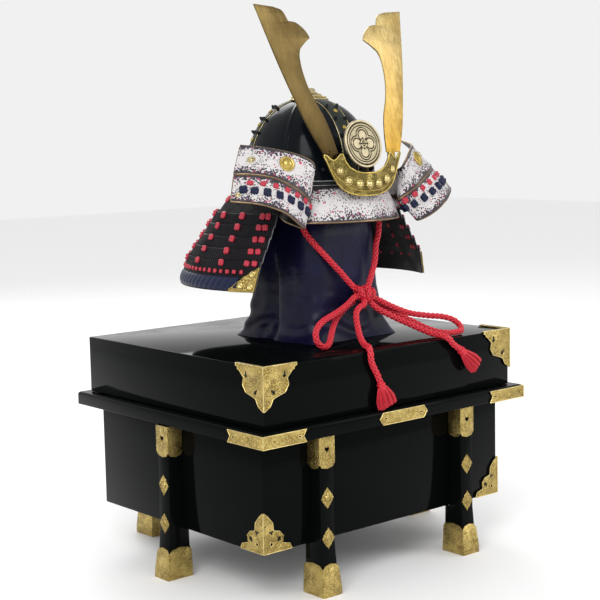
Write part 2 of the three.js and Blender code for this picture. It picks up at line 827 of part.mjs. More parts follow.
// Neck guard
function neckPoint(z, radius, degrees) {
  const rounding = THREE.MathUtils.clamp((z - neck.round) / (neck.top - neck.round), 0, 1);
  const shift = (neck.shift * (neck.top - z)) / (neck.top - neck.bottom);
  const deeper = 1 + rounding * (band.halfY / band.halfX - 1);
  const power = 2 + rounding * (roundness.plan - 2);
  const angle = THREE.MathUtils.degToRad(degrees);
  return ovalPoint(angle, radius, radius * deeper, power, z, shift);
}

function neckGamma(z) {
  const share = (neck.top - z) / (neck.top - neck.bottom);
  return THREE.MathUtils.lerp(neck.gamma, neck.gammaLow, share);
}

function neckRow(z, radius, from, to, columns) {
  const row = [];
  for (let c = 0; c <= columns; c++) {
    row.push(neckPoint(z, radius, THREE.MathUtils.lerp(from, to, c / columns)));
  }
  return row;
}

function lameGrid({ high, low, upper, lower }, inset) {
  const rows = high > neck.round ? 6 : 1;
  const grid = [];
  for (let r = 0; r <= rows; r++) {
    const z = THREE.MathUtils.lerp(high, low, r / rows);
    const radius = THREE.MathUtils.lerp(upper, lower, r / rows) - inset;
    grid.push(neckRow(z, radius, neckGamma(z), 360 - neckGamma(z), 32));
  }
  return grid;
}
lames.forEach((row, i) => {
  add("lame_" + (i + 1), sheet(lameGrid(row, 0), lameGrid(row, lameWall)), looks.lacquer, helmet);
});

// Gilt plates on the lower front corners of the last lame
const hem = lames[lames.length - 1];
const cornerPlate = { high: 333, low: 307.4, turn: 12.5, columns: 8 };

function neckCornerGrid(outset) {
  const grid = [];
  const radiusAt = (z) => {
    const share = (hem.high - z) / (hem.high - hem.low);
    return THREE.MathUtils.lerp(hem.upper, hem.lower, share) + gap + outset;
  };
  for (let r = 0; r <= 3; r++) {
    const row = [];
    for (let c = 0; c <= cornerPlate.columns; c++) {
      const across = c / cornerPlate.columns;
      const drop = (cornerPlate.high - cornerPlate.low - 2) * across ** 1.4;
      const z = THREE.MathUtils.lerp(cornerPlate.high - drop, cornerPlate.low, r / 3);
      row.push(neckPoint(z, radiusAt(z), neckGamma(z) + across * cornerPlate.turn));
    }
    grid.push(row);
  }
  return grid;
}
const neckCorner = sheet(neckCornerGrid(brass), neckCornerGrid(0));
add("neck_corner_right", neckCorner, looks.gilt, helmet);
add("neck_corner_left", mirrored(neckCorner), looks.gilt, helmet);

// Wings
const wingSteps = 18;
const wingRows = 2;

function ruledGrid(upperRow, lowerRow) {
  const grid = [];
  for (let r = 0; r <= wingRows; r++) {
    grid.push(upperRow.map((p, c) => p.clone().lerp(lowerRow[c], r / wingRows)));
  }
  return grid;
}

function lowered(row, drop) {
  return row.map((p) => new THREE.Vector3(p.x, p.y, p.z - drop));
}
const wingClearance = 1.8;

// Where a wing leaves the neck guard, just forward of a row's front end.
function wingRoot(z, radius) {
  return neckPoint(z, radius - lameWall, neckGamma(z) - wingClearance);
}
const upperEdge = smoothRow([wingRoot(lames[0].high, lames[0].upper), ...wingUpper], wingSteps);
const tierEdge = smoothRow([wingRoot(lames[0].low, lames[0].lower), ...wingTier], wingSteps);
const lowerEdge = smoothRow([wingRoot(lames[1].low, lames[1].lower), ...wingLower], wingSteps);
const wingGrids = {
  wing_upper: ruledGrid(upperEdge, tierEdge),
  wing_lower: ruledGrid(lowered(tierEdge, 1.7), lowerEdge),
};
Object.entries(wingGrids).forEach(([name, grid]) => {
  const wing = sheet(grid, offsetGrid(grid, plate));
  add(name + "_right", wing, looks.leather, helmet);
  add(name + "_left", mirrored(wing), looks.leather, helmet);
});

// Crest holder, with the pins that stand on the visor
function holderGrid(depth) {
  const right = holderEdges.slice(1);
  const table = [...right.map((row) => ({ ...row, x: -row.x })).reverse(), ...holderEdges];
  const rows = 1;
  const grid = [];
  for (let r = 0; r <= rows; r++) {
    grid.push(
      table.map(({ x, low, high }) => {
        const y = holder.front + (x * x) / holder.curve + depth;
        return new THREE.Vector3(x, y, THREE.MathUtils.lerp(low, high, r / rows));
      }),
    );
  }
  return grid;
}

function holderPin(x) {
  const start = holder.front + 1;
  const length = holder.pinEnd - start;
  const pin = new THREE.CylinderGeometry(holder.pinRadius, holder.pinRadius, length, 12);
  return pin.translate(x, start + length / 2, holder.pinZ);
}
const holderPins = [holderPin(-holder.pinX), holderPin(holder.pinX)];
const holderGeometry = joined(sheet(holderGrid(0), holderGrid(plate)), ...holderPins);
add("crest_holder", holderGeometry, looks.gilt, helmet);

// Medallion on its post behind the crest holder
const medalProfile = [
  [0, -medal.half],
  [medal.radius - 0.7, -medal.half],
  [medal.radius, -medal.half + 0.7],
  [medal.radius, medal.half - 0.7],
  [medal.radius - 0.7, medal.half],
  [medal.radius - 2.6, medal.half],
  [medal.radius - 3.4, medal.half - 1],
  [0, medal.half - 1],
].map(([r, z]) => new THREE.Vector2(r, z));
const medalDisc = new THREE.LatheGeometry(medalProfile, 32);
medalDisc.rotateX(Math.PI - THREE.MathUtils.degToRad(medal.lean));
medalDisc.translate(0, medal.y, medal.z);
const postBack = holder.front + plate + gap;
const { low: postLow, high: postHigh } = medalPostSpan;
const medalPost = box(-medal.postHalf, medal.postHalf, postBack, postBack + plate, postLow, postHigh);
add("medallion", joined(medalDisc, medalPost), looks.silver, helmet);

// Horns: outer edge, notched head and inner edge of the right one, as distance across and height
const hornOuter = [
  [56, 449.2],
  [68, 475],
  [77, 500],
  [88, 535],
  [96, 565],
  [106, 606],
];
const hornHead = [
  [81, 604],
  [70, 600.5],
  [66, 594],
  [64.5, 589.5],
  [54, 588],
  [43, 579.5],
  [39, 572],
  [47, 567],
  [56, 560],
];
const hornInner = [
  [56, 560],
  [59, 553],
  [59.5, 538],
  [56, 520],
  [50, 505],
  [42, 490],
  [36.5, 470],
  [34.8, 449.2],
];

function splinePoints(points, steps) {
  const curve = new THREE.SplineCurve(points.map(([x, y]) => new THREE.Vector2(x, y)));
  return curve.getPoints(steps).map((p) => [p.x, p.y]);
}
const hornInnerEdge = splinePoints(hornInner, 18).slice(1);
const hornOutline = [...splinePoints(hornOuter, 14), ...hornHead, ...hornInnerEdge];
const hornSlope = Math.hypot(1, horn.lean);
const hornShape = outlineShape(hornOutline.map(([x, z]) => [x, (z - horn.z) * hornSlope]));
const hornPlate = uprightPlate(hornShape, plate);
hornPlate.rotateX(-Math.atan(horn.lean)).translate(0, horn.y + plate / 2, horn.z);
const tangFront = tang.y - plate / 2;
const hornTang = box(tang.in, tang.out, tangFront, tangFront + plate, tang.low, tang.high);
const rightHorn = joined(hornPlate, hornTang);
add("horn_right", rightHorn, looks.gilt, helmet);
add("horn_left", mirrored(rightHorn), looks.gilt, helmet);

// Cord: every piece is cut back to leave the knot its gap
function knotBall(grow) {
  const ball = new THREE.SphereGeometry(1, 16, 10);
  ball.scale(knot.halfX + grow, knot.halfY + grow, knot.halfZ + grow);
  return tidied(ball.translate(knot.x, knot.y, knot.z));
}
add("cord_knot", knotBall(0), looks.silk);
const cords = [
  { name: "chin_cord", route: chinRoute, steps: 76 },
  { name: "bow_loop_left", route: leftLoopRoute, steps: 26 },
  { name: "bow_loop_right", route: rightLoopRoute, steps: 30 },
  { name: "cord_tail_left", route: leftTailRoute, steps: 20 },
  { name: "cord_tail_right", route: rightTailRoute, steps: 16 },
];
cords.forEach(({ name, route, steps }) => {
  add(name, cut(tube(route, cordRadius, 8, steps), knotBall(gap)), looks.silk);
});

// Tassels: columns are the share of the length and the shares of the full width and thickness
const tasselForm = [
  { along: 0, wide: 0.26, thick: 0.55 },
  { along: 0.12, wide: 0.42, thick: 0.75 },
  { along: 0.35, wide: 0.72, thick: 0.95 },
  { along: 0.7, wide: 1, thick: 1 },
  { along: 0.92, wide: 0.96, thick: 0.85 },
  { along: 1, wide: 0.8, thick: 0.6 },
];
tassels.forEach(({ name, from, to, wide, thick }) => {
  const start = new THREE.Vector3(...from);
  const end = new THREE.Vector3(...to);
  const along = end.clone().sub(start).normalize();
  const across = new THREE.Vector3(0, 1, 0).cross(along).normalize();
  const out = along.clone().cross(across);
  const loops = tasselForm.map((row) => {
    const centre = start.clone().lerp(end, row.along);
    return Array.from({ length: 14 }, (_, i) => {
      const angle = (i / 14) * 2 * Math.PI;
      const p = centre.clone().addScaledVector(across, Math.cos(angle) * wide * row.wide);
      return p.addScaledVector(out, Math.sin(angle) * thick * row.thick);
    });
  });
  add(name, stack(loops), looks.silk);
});

export default root;
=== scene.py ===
import random
from math import cos, hypot, pi, radians, sin

import bmesh
import bpy
import numpy as np
from mathutils import Matrix, Vector


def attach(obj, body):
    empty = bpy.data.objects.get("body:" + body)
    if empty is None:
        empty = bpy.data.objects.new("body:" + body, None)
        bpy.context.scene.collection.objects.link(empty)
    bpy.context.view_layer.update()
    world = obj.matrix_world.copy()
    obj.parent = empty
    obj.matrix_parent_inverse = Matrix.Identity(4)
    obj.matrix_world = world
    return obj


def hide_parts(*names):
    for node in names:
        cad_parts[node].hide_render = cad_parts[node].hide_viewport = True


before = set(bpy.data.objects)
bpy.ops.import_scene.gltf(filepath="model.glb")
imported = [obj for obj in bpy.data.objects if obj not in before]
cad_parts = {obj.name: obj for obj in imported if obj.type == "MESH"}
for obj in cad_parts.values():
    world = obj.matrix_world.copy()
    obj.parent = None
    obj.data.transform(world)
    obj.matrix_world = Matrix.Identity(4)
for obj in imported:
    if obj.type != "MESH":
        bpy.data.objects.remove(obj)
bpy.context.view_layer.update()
scene = bpy.context.scene
mm = 0.001  # the tables below are in millimetres unless they say metres


# camera, floor and light, in metres

cameraView = {"place": (-1.0262, -1.2079, 0.4746), "turn": 40.46, "down": 6.9, "roll": 1.17, "lens": 84.05}
studio = {
    "floor": (0.92, 0.92, 0.92), "floorHalf": 6, "floorRough": 0.6, "sky": 0.88,
    "lamps": [  # name, place, aim, width, height, watts
        ("keyLight", (-1.7, -1.3, 1.9), (0, 0, 0.35), 1.3, 1.3, 34),
        ("fillLight", (1.6, -1.9, 1.3), (0, 0, 0.35), 1.2, 1.6, 14),
        ("backLight", (0.8, 1.9, 1.7), (0, 0, 0.4), 1.4, 1.0, 16),
    ],
}


def aimed(forward):
    right = forward.cross(Vector((0, 0, 1))).normalized()
    return Matrix((right, right.cross(forward), -forward)).transposed()


def makeCamera():
    turn, down = radians(cameraView["turn"]), radians(cameraView["down"])
    forward = Vector((sin(turn) * cos(down), cos(turn) * cos(down), -sin(down)))
    rolled = Matrix.Rotation(radians(cameraView["roll"]), 3, forward) @ aimed(forward)
    data = bpy.data.cameras.new("photoCamera")
    data.lens = cameraView["lens"]
    data.clip_start = 0.05
    camera = bpy.data.objects.new("photoCamera", data)
    camera.matrix_world = Matrix.Translation(cameraView["place"]) @ rolled.to_4x4()
    scene.collection.objects.link(camera)
    scene.camera = camera


def makeStudio():
    floor = bpy.data.meshes.new("paleFloor")
    corners = [(x * studio["floorHalf"], y * studio["floorHalf"], 0)
               for x, y in ((-1, -1), (1, -1), (1, 1), (-1, 1))]
    floor.from_pydata(corners, [], [(0, 1, 2, 3)])
    floor.materials.append(Paint("paleFloor", studio["floor"], roughness=studio["floorRough"]).material)
    plane = bpy.data.objects.new("paleFloor", floor)
    scene.collection.objects.link(plane)
    world = bpy.data.worlds.new("softSky")
    world.use_nodes = True
    background = world.node_tree.nodes["Background"].inputs
    background["Color"].default_value = (1, 1, 1, 1)
    background["Strength"].default_value = studio["sky"]
    scene.world = world
    scene.view_settings.view_transform = "Standard"
    for name, place, aim, width, height, watts in studio["lamps"]:
        lamp = bpy.data.lights.new(name, "AREA")
        lamp.shape, lamp.size, lamp.size_y, lamp.energy = "RECTANGLE", width, height, watts
        obj = bpy.data.objects.new(name, lamp)
        turn = aimed((Vector(aim) - Vector(place)).normalized()).to_4x4()
        obj.matrix_world = Matrix.Translation(place) @ turn
        scene.collection.objects.link(obj)


# materials

shaderSockets = {
    "roughness": "Roughness", "metal": "Metallic", "coat": "Coat Weight", "coatRough": "Coat Roughness",
    "sheen": "Sheen Weight", "sheenRough": "Sheen Roughness", "aniso": "Anisotropic", "ior": "IOR",
    "specular": "Specular IOR Level",
}


def addNode(tree, kind, inputs=None, **settings):
    made = tree.nodes.new(kind)
    for key, value in settings.items():
        setattr(made, key, value)
    for key, value in (inputs or {}).items():
        if isinstance(value, bpy.types.NodeSocket):
            tree.links.new(value, made.inputs[key])
        else:
            made.inputs[key].default_value = value
    return made


class Paint:
    # one material, with short ways to add its nodes

    def __init__(self, name, colour, **values):
        self.material = bpy.data.materials.new(name)
        self.material.use_nodes = True
        self.tree = self.material.node_tree
        self.shader = self.tree.nodes["Principled BSDF"].inputs
        self.shader["Base Color"].default_value = (*colour, 1)
        for key, value in values.items():
            self.shader[shaderSockets[key]].default_value = value

    def place(self, scale=(1, 1, 1), turn=(0, 0, 0)):
        source = addNode(self.tree, "ShaderNodeTexCoord").outputs["Object"]
        inputs = {"Vector": source, "Scale": scale, "Rotation": [radians(a) for a in turn]}
        return addNode(self.tree, "ShaderNodeMapping", inputs).outputs["Vector"]

    def noise(self, place, scale, detail=3.0, roughness=0.5, distortion=0.0):
        inputs = {"Vector": place, "Scale": scale, "Detail": detail, "Roughness": roughness,
                  "Distortion": distortion}
        return addNode(self.tree, "ShaderNodeTexNoise", inputs).outputs["Fac"]

    def cells(self, place, scale):
        return addNode(self.tree, "ShaderNodeTexVoronoi", {"Vector": place, "Scale": scale},
                       feature="F1").outputs

    def split(self, kind, value):
        return addNode(self.tree, "ShaderNodeSeparate" + kind, {0: value}).outputs

    def math(self, operation, *values):
        return addNode(self.tree, "ShaderNodeMath", dict(enumerate(values)), operation=operation).outputs[0]

    def ramp(self, factor, *stops, ease=False):
        made = addNode(self.tree, "ShaderNodeValToRGB", {"Fac": factor})
        scale = made.color_ramp
        scale.interpolation = "EASE" if ease else "LINEAR"
        while len(scale.elements) < len(stops):
            scale.elements.new(0.5)
        for element, (position, colour) in zip(scale.elements, stops):
            element.position = position
            element.color = (*colour, 1) if hasattr(colour, "__len__") else (colour, colour, colour, 1)
        return made.outputs["Color"]

    def blend(self, factor, first, second):
        ends = [end if isinstance(end, bpy.types.NodeSocket) else (*end, 1) for end in (first, second)]
        return addNode(self.tree, "ShaderNodeMix", {0: factor, 6: ends[0], 7: ends[1]},
                       data_type="RGBA").outputs[2]

    def wire(self, socket, value):
        self.tree.links.new(value, self.shader[socket])

    def bump(self, height, strength, distance, before=None):
        inputs = {"Height": height, "Strength": strength, "Distance": distance}
        if before:
            inputs["Normal"] = before
        normal = addNode(self.tree, "ShaderNodeBump", inputs).outputs["Normal"]
        self.wire("Normal", normal)
        return normal


def lacquerFinish(name, colour, gloss=0.07, waves=0.02, index=1.33):
    # a little haze, a few specks of dust, and a slow wave in the coat
    paint = Paint(name, colour, ior=index, specular=0.26)
    place = paint.place()
    paint.wire("Roughness", paint.ramp(paint.noise(place, 26, 5, 0.6), (0.35, gloss), (0.75, gloss * 2.6)))
    specks = paint.ramp(paint.noise(place, 900, 2), (0.7, colour), (0.86, [c + 0.02 for c in colour]))
    paint.wire("Base Color", specks)
    paint.bump(paint.noise(place, 14, 2), waves, 0.004)
    return paint.material


def engravedFinish(name, dark, bright, scale=1.0, rough=0.3, depth=0.00035):
    # scrolls in some fields, a punched ground in the others, dark in the cuts
    paint = Paint(name, bright, metal=1.0, roughness=rough)
    place = paint.place((scale, scale, scale))
    swirl = paint.noise(place, 130, 2, 0.5, 2.6)
    scroll = paint.math("ABSOLUTE", paint.math("SINE", paint.math("MULTIPLY", swirl, 17.0)))
    lines = paint.ramp(scroll, (0.1, 0.0), (0.55, 1.0), ease=True)
    ground = paint.ramp(paint.cells(place, 520)["Distance"], (0.12, 1.0), (0.62, 0.15))
    field = paint.ramp(paint.noise(place, 80, 2), (0.4, 0.0), (0.6, 1.0))
    height = paint.blend(field, ground, lines)
    worn = paint.noise(place, 55, 4, 0.6)
    tone = paint.blend(height, dark, bright)
    tone = paint.blend(paint.ramp(worn, (0.3, 0.0), (0.8, 0.55)), tone, [c * 0.6 for c in bright])
    paint.wire("Base Color", tone)
    paint.wire("Roughness", paint.ramp(worn, (0.3, rough * 0.7), (0.75, rough * 1.7)))
    paint.bump(height, 0.9, depth)
    return paint.material


def metalFinish(name, dark, bright, rough=0.28):
    paint = Paint(name, bright, metal=1.0, roughness=rough)
    place = paint.place()
    worn = paint.noise(place, 90, 5, 0.65)
    paint.wire("Base Color", paint.ramp(worn, (0.3, bright), (0.78, dark)))
    paint.wire("Roughness", paint.ramp(worn, (0.3, rough * 0.7), (0.8, rough * 1.8)))
    paint.bump(paint.noise(place, 400, 3), 0.12, 0.0002)
    return paint.material


def reliefFinish(name, low, high):
    # darker in the sunk parts, painted shade in the recesses, by the height kept on the mesh as "relief"
    paint = Paint(name, high, metal=1.0, roughness=0.33)
    relief = addNode(paint.tree, "ShaderNodeAttribute", attribute_name="relief").outputs["Fac"]
    place = paint.place()
    worn = paint.noise(place, 160, 5, 0.65)
    level = paint.math("ADD", relief, paint.math("MULTIPLY", worn, 0.16))
    # painted shade: the lower the relief, the darker the colour
    tone = paint.ramp(level, (0.22, low), (0.5, [c * 0.62 for c in high]), (0.95, high))
    paint.wire("Base Color", tone)
    paint.wire("Roughness", paint.ramp(worn, (0.3, 0.25), (0.8, 0.5)))
    paint.bump(paint.noise(place, 700, 3), 0.2, 0.0002)
    return paint.material


def brushedFinish(name, dark, bright, turn):
    # dark and bright each run from a colour at the foot to one at the tip, the foot darker as painted shade
    paint = Paint(name, bright[1], metal=1.0, roughness=0.3, aniso=0.5)
    height = paint.split("XYZ", paint.place())["Z"]
    # painted shade: the colour darkens towards the foot of the horn
    rise = addNode(paint.tree, "ShaderNodeMapRange",
                   {"Value": height, "From Min": 0.45, "From Max": 0.6}).outputs[0]
    dark, bright = [paint.blend(rise, *pair) for pair in (dark, bright)]
    streaks = paint.noise(paint.place((1, 1, 0.018), turn), 330, 4, 0.75)
    patches = paint.noise(paint.place((1, 1, 0.35), turn), 28, 4, 0.6, 0.6)
    tone = paint.blend(paint.ramp(patches, (0.35, 0.0), (0.7, 1.0)), bright, dark)
    tone = paint.blend(paint.ramp(streaks, (0.36, 0.42), (0.58, 0.0)), tone, (0.06, 0.035, 0.008))
    paint.wire("Base Color", tone)
    paint.wire("Roughness", paint.ramp(streaks, (0.25, 0.24), (0.75, 0.42)))
    paint.bump(streaks, 0.25, 0.0001)
    return paint.material


def leatherFinish(name):
    # ink specks that crowd towards both edges, and small flowers, with paler patches of fewer specks as
    # painted reflection; the UV map's v runs across from 0 to 1
    paint = Paint(name, (0.8, 0.77, 0.78), roughness=0.5, coat=0.15, coatRough=0.3)
    place = paint.place()
    strip = addNode(paint.tree, "ShaderNodeUVMap", uv_map="UVMap").outputs["UV"]
    edge = paint.math("ABSOLUTE", paint.math("SUBTRACT", paint.split("XYZ", strip)["Y"], 0.5))
    edge = paint.math("MULTIPLY", edge, 2.0)
    # painted reflection: slow patches that are paler and have fewer specks; the same noise also makes the
    # dark edges uneven
    glareAndBlotch = paint.noise(place, 48, 3, 0.55)
    crowd = paint.math("MULTIPLY_ADD", paint.math("POWER", edge, 1.6), 0.5, 0.12)
    crowd = paint.math("MULTIPLY_ADD", paint.ramp(glareAndBlotch, (0.42, 0.0), (0.5, 1.0)), 0.2, crowd)
    grain = paint.cells(place, 490)
    dots = paint.math("LESS_THAN", grain["Distance"], crowd)
    ink = paint.ramp(paint.split("Color", grain["Color"])[0], (0.7, (0.01, 0.008, 0.012)),
                     (0.76, (0.05, 0.018, 0.065)), (0.9, (0.07, 0.025, 0.09)), (0.93, (0.4, 0.03, 0.09)))
    darkEdge = paint.ramp(paint.math("MULTIPLY_ADD", glareAndBlotch, 0.14, edge), (0.9, 0.0), (0.98, 1.0))
    blooms = paint.cells(place, 125)
    petals = paint.ramp(blooms["Distance"], (0.17, 1.0), (0.22, 0.0))
    chosen = paint.split("Color", blooms["Color"])
    flower = paint.math("MULTIPLY", petals, paint.math("GREATER_THAN", chosen[0], 0.7))
    # the paler ground where the painted reflection falls
    tone = paint.blend(dots, paint.blend(glareAndBlotch, (0.6, 0.58, 0.57), (0.5, 0.47, 0.48)), ink)
    tone = paint.blend(flower, tone, paint.blend(chosen[1], (0.5, 0.05, 0.12), (0.3, 0.05, 0.16)))
    paint.wire("Base Color", paint.blend(darkEdge, tone, (0.014, 0.009, 0.014)))
    paint.bump(paint.noise(place, 1400, 3), 0.18, 0.0002)
    return paint.material


def satinFinish(name):
    paint = Paint(name, (0.008, 0.007, 0.035), roughness=0.27, sheen=0.03, sheenRough=0.3, aniso=0.6,
                  specular=0.2)
    paint.shader["Sheen Tint"].default_value = (0.2, 0.18, 0.65, 1)
    place = paint.place()
    shade = paint.ramp(paint.noise(place, 22, 3, 0.55), (0.3, (0.0015, 0.0015, 0.009)),
                       (0.75, (0.006, 0.006, 0.038)))
    paint.wire("Base Color", shade)
    threads = paint.noise(paint.place((1, 1, 0.08)), 2600, 2)
    paint.wire("Roughness", paint.ramp(threads, (0.3, 0.28), (0.7, 0.42)))
    slack = paint.bump(paint.noise(place, 38, 4, 0.6), 0.35, 0.004)
    paint.bump(threads, 0.12, 0.0003, slack)
    return paint.material


def silkFinish(name, colour, shade, sheen=0.3, specular=0.45):
    paint = Paint(name, colour, roughness=0.36, sheen=sheen, sheenRough=0.4, specular=specular)
    paint.shader["Sheen Tint"].default_value = (*[min(1, c * 1.4 + 0.12) for c in colour], 1)
    fibres = paint.noise(paint.place(), 2400, 4, 0.7)
    paint.wire("Base Color", paint.blend(paint.ramp(fibres, (0.3, 1.0), (0.7, 0.0)), colour, shade))
    paint.bump(fibres, 0.4, 0.0003)
    return paint.material


def woodFinish(name):
    paint = Paint(name, (0.42, 0.3, 0.18), roughness=0.6)
    inputs = {"Vector": paint.place((1, 1, 0.08)), "Scale": 60.0, "Distortion": 6.0}
    rings = addNode(paint.tree, "ShaderNodeTexWave", inputs, wave_type="RINGS").outputs["Fac"]
    paint.wire("Base Color", paint.ramp(rings, (0.2, (0.36, 0.24, 0.13)), (0.8, (0.5, 0.37, 0.23))))
    paint.bump(rings, 0.15, 0.0004)
    return paint.material


finish = {
    "chest": lacquerFinish("chestLacquer", (0.002, 0.0025, 0.0025), 0.05, index=1.17),
    "bowl": lacquerFinish("bowlLacquer", (0.0025, 0.004, 0.006), 0.11, 0.03, 1.27),
    "plate": lacquerFinish("stripLacquer", (0.016, 0.021, 0.018), 0.22),
    "lame": lacquerFinish("lameLacquer", (0.004, 0.003, 0.0045), 0.32, 0.05),
    "lining": lacquerFinish("liningLacquer", (0.009, 0.007, 0.008), 0.3),
    "brass": engravedFinish("chestBrass", (0.15, 0.095, 0.02), (0.66, 0.5, 0.17), 1.0, 0.3, 0.0006),
    # a darker copy of the engraved gilt for the crest holder: painted shade
    "holder": engravedFinish("holderGilt", (0.025, 0.017, 0.004), (0.36, 0.28, 0.085), 1.4, 0.28, 0.0011),
    # a brighter copy of the gilt for rims, rings and rivets: painted highlight where they catch the light
    "bead": metalFinish("rimGilt", (0.42, 0.32, 0.1), (0.84, 0.7, 0.33), 0.22),
    "gilt": metalFinish("wornGilt", (0.22, 0.15, 0.035), (0.68, 0.52, 0.15)),
    "paleGilt": metalFinish("paleGilt", (0.26, 0.21, 0.1), (0.62, 0.54, 0.32)),
    # the champagne metal, with painted shade in the medallion's sunk parts
    "medal": reliefFinish("champagneMetal", (0.035, 0.026, 0.014), (0.4, 0.345, 0.225)),
    "rim": metalFinish("leatherRim", (0.1, 0.065, 0.042), (0.34, 0.235, 0.14), 0.35),
    "steel": metalFinish("darkSteel", (0.03, 0.03, 0.034), (0.16, 0.16, 0.17), 0.3),
    "silver": metalFinish("silverRim", (0.12, 0.12, 0.13), (0.5, 0.5, 0.5), 0.25),
    # one gilt for both horns: a lit copy for the right and a darker copy for the left, painted light and
    # shade
    "hornRight": brushedFinish("hornGiltRight", ((0.24, 0.12, 0.014), (0.36, 0.25, 0.08)),
                               ((0.56, 0.34, 0.06), (0.62, 0.5, 0.24)), (0, -12, 0)),
    "hornLeft": brushedFinish("hornGiltLeft", ((0.02, 0.013, 0.005), (0.12, 0.08, 0.028)),
                              ((0.065, 0.043, 0.015), (0.3, 0.215, 0.08)), (0, 12, 0)),
    "leather": leatherFinish("printedLeather"),
    "satin": satinFinish("blueSatin"),
    "redSilk": silkFinish("redSilk", (0.78, 0.022, 0.045), (0.4, 0.008, 0.02)),
    "lacingSilk": silkFinish("redLacing", (0.62, 0.028, 0.062), (0.26, 0.008, 0.022), 0.2),
    "navySilk": silkFinish("navyLacing", (0.009, 0.016, 0.058), (0.003, 0.005, 0.018), 0.04, 0.2),
    # the core under the braid's strands: painted shade in the gaps
    "coreShadeSilk": silkFinish("cordCore", (0.2, 0.005, 0.012), (0.09, 0.002, 0.006), 0.1),
    "iron": lacquerFinish("studLacquer", (0.006, 0.007, 0.008), 0.16),
    "wood": woodFinish("postWood"),
}
print("finishes made:", len(finish))


# mesh helpers, in millimetres

def shell(outer, inner, wrap=False):
    # two grids of points, rows by columns, joined by a wall at every open edge
    rows, columns = outer.shape[:2]
    last, spans = rows - 1, columns if wrap else columns - 1
    faces, slots = [], []

    def at(side, row, column):
        return (side * rows + row) * columns + column % columns

    for c in range(spans):
        for r in range(last):
            faces.append((at(0, r, c), at(0, r, c + 1), at(0, r + 1, c + 1), at(0, r + 1, c)))
            faces.append((at(1, r, c), at(1, r + 1, c), at(1, r + 1, c + 1), at(1, r, c + 1)))
            slots += [0, 1]
        faces.append((at(0, 0, c + 1), at(0, 0, c), at(1, 0, c), at(1, 0, c + 1)))
        faces.append((at(0, last, c), at(0, last, c + 1), at(1, last, c + 1), at(1, last, c)))
        slots += [0, 0]
    if not wrap:
        for r in range(last):
            faces.append((at(0, r, 0), at(0, r + 1, 0), at(1, r + 1, 0), at(1, r, 0)))
            faces.append((at(0, r + 1, spans), at(0, r, spans), at(1, r, spans), at(1, r + 1, spans)))
            slots += [0, 0]
    points = np.concatenate([outer.reshape(-1, 3), inner.reshape(-1, 3)])
    along = np.linalg.norm(np.diff(outer[rows // 2], axis=0), axis=1).sum() * mm
    row, column = np.indices((rows, columns))
    uv = np.stack([column / (columns - 1) * along, row / last], 2).reshape(-1, 2)
    return points, faces, slots, np.concatenate([uv, uv])


def makePiece(name, shape, materials, sharp=35, flip=True):
    points, faces = shape[:2]
    mesh = bpy.data.meshes.new(name)
    mesh.from_pydata((np.asarray(points) * mm).tolist(), [], [list(f) for f in faces])
    if len(shape) > 3:
        layer = mesh.uv_layers.new(name="UVMap")
        corners = np.zeros(len(mesh.loops), int)
        mesh.loops.foreach_get("vertex_index", corners)
        layer.data.foreach_set("uv", np.asarray(shape[3])[corners].ravel())
    if len(shape) > 2 and len(materials) > 1:
        mesh.polygons.foreach_set("material_index", shape[2])
    tidyMesh(mesh, flip)
    for material in materials:
        mesh.materials.append(material)
    mesh.shade_smooth()
    mesh.set_sharp_from_angle(angle=radians(sharp))
    return linked(name, mesh)


def tidyMesh(mesh, flip=True):
    work = bmesh.new()
    work.from_mesh(mesh)
    bmesh.ops.remove_doubles(work, verts=work.verts, dist=2e-6)
    if flip and work.calc_volume(signed=True) < 0:
        bmesh.ops.reverse_faces(work, faces=work.faces)
    work.to_mesh(mesh)
    work.free()


def linked(name, data):
    obj = bpy.data.objects.new(name, data)
    scene.collection.objects.link(obj)
    return obj


def settled(obj, slot, *nodes):
    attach(obj, "root")
    if nodes:
        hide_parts(*nodes)
    return obj


def gridOf(downs, columns, point):
    # a table of points, by their shares down and across
    return np.array([[point(down, c / columns) for c in range(columns + 1)] for down in downs])


def cappedRings(rings):
    # rings of points in order, joined by faces and closed at both ends
    rings = np.array(rings, float)
    count, steps = rings.shape[:2]
    faces = [(r * steps + c, r * steps + (c + 1) % steps, (r + 1) * steps + (c + 1) % steps,
              (r + 1) * steps + c)
             for r in range(count - 1) for c in range(steps)]
    faces += [tuple(range(steps))[::-1], tuple((count - 1) * steps + i for i in range(steps))]
    return rings.reshape(-1, 3), faces


def roundAngles(count):
    return np.arange(count) / count * 2 * pi


def spunShape(profile, steps, wave=None):
    # a profile of radius and height turned round the upright axis, with petals where wave gives them
    rings = []
    for radius, z, *petal in profile:
        lifts = [wave(a, petal) if wave and petal else (0, 0) for a in roundAngles(steps)]
        rings.append([((radius + out) * sin(a), -(radius + out) * cos(a), z + up)
                      for a, (out, up) in zip(roundAngles(steps), lifts)])
    return cappedRings(rings)


def bentTube(route, radius, sides=12):
    # a short tube along a route
    route = np.asarray(route, float)
    rings = []
    for i, p in enumerate(route):
        ahead = route[min(i + 1, len(route) - 1)] - route[max(i - 1, 0)]
        ahead = ahead / np.linalg.norm(ahead)
        side = np.cross(ahead, (0, 0, 1) if abs(ahead[2]) < 0.9 else (1, 0, 0))
        side = side / np.linalg.norm(side)
        other = np.cross(ahead, side)
        rings.append([p + radius * (cos(a) * side + sin(a) * other) for a in roundAngles(sides)])
    return cappedRings(rings)


def merged(*shapes):
    points, faces, count = [], [], 0
    for shape in shapes:
        points.append(np.asarray(shape[0]))
        faces += [tuple(i + count for i in face) for face in shape[1]]
        count += len(shape[0])
    return np.concatenate(points), faces


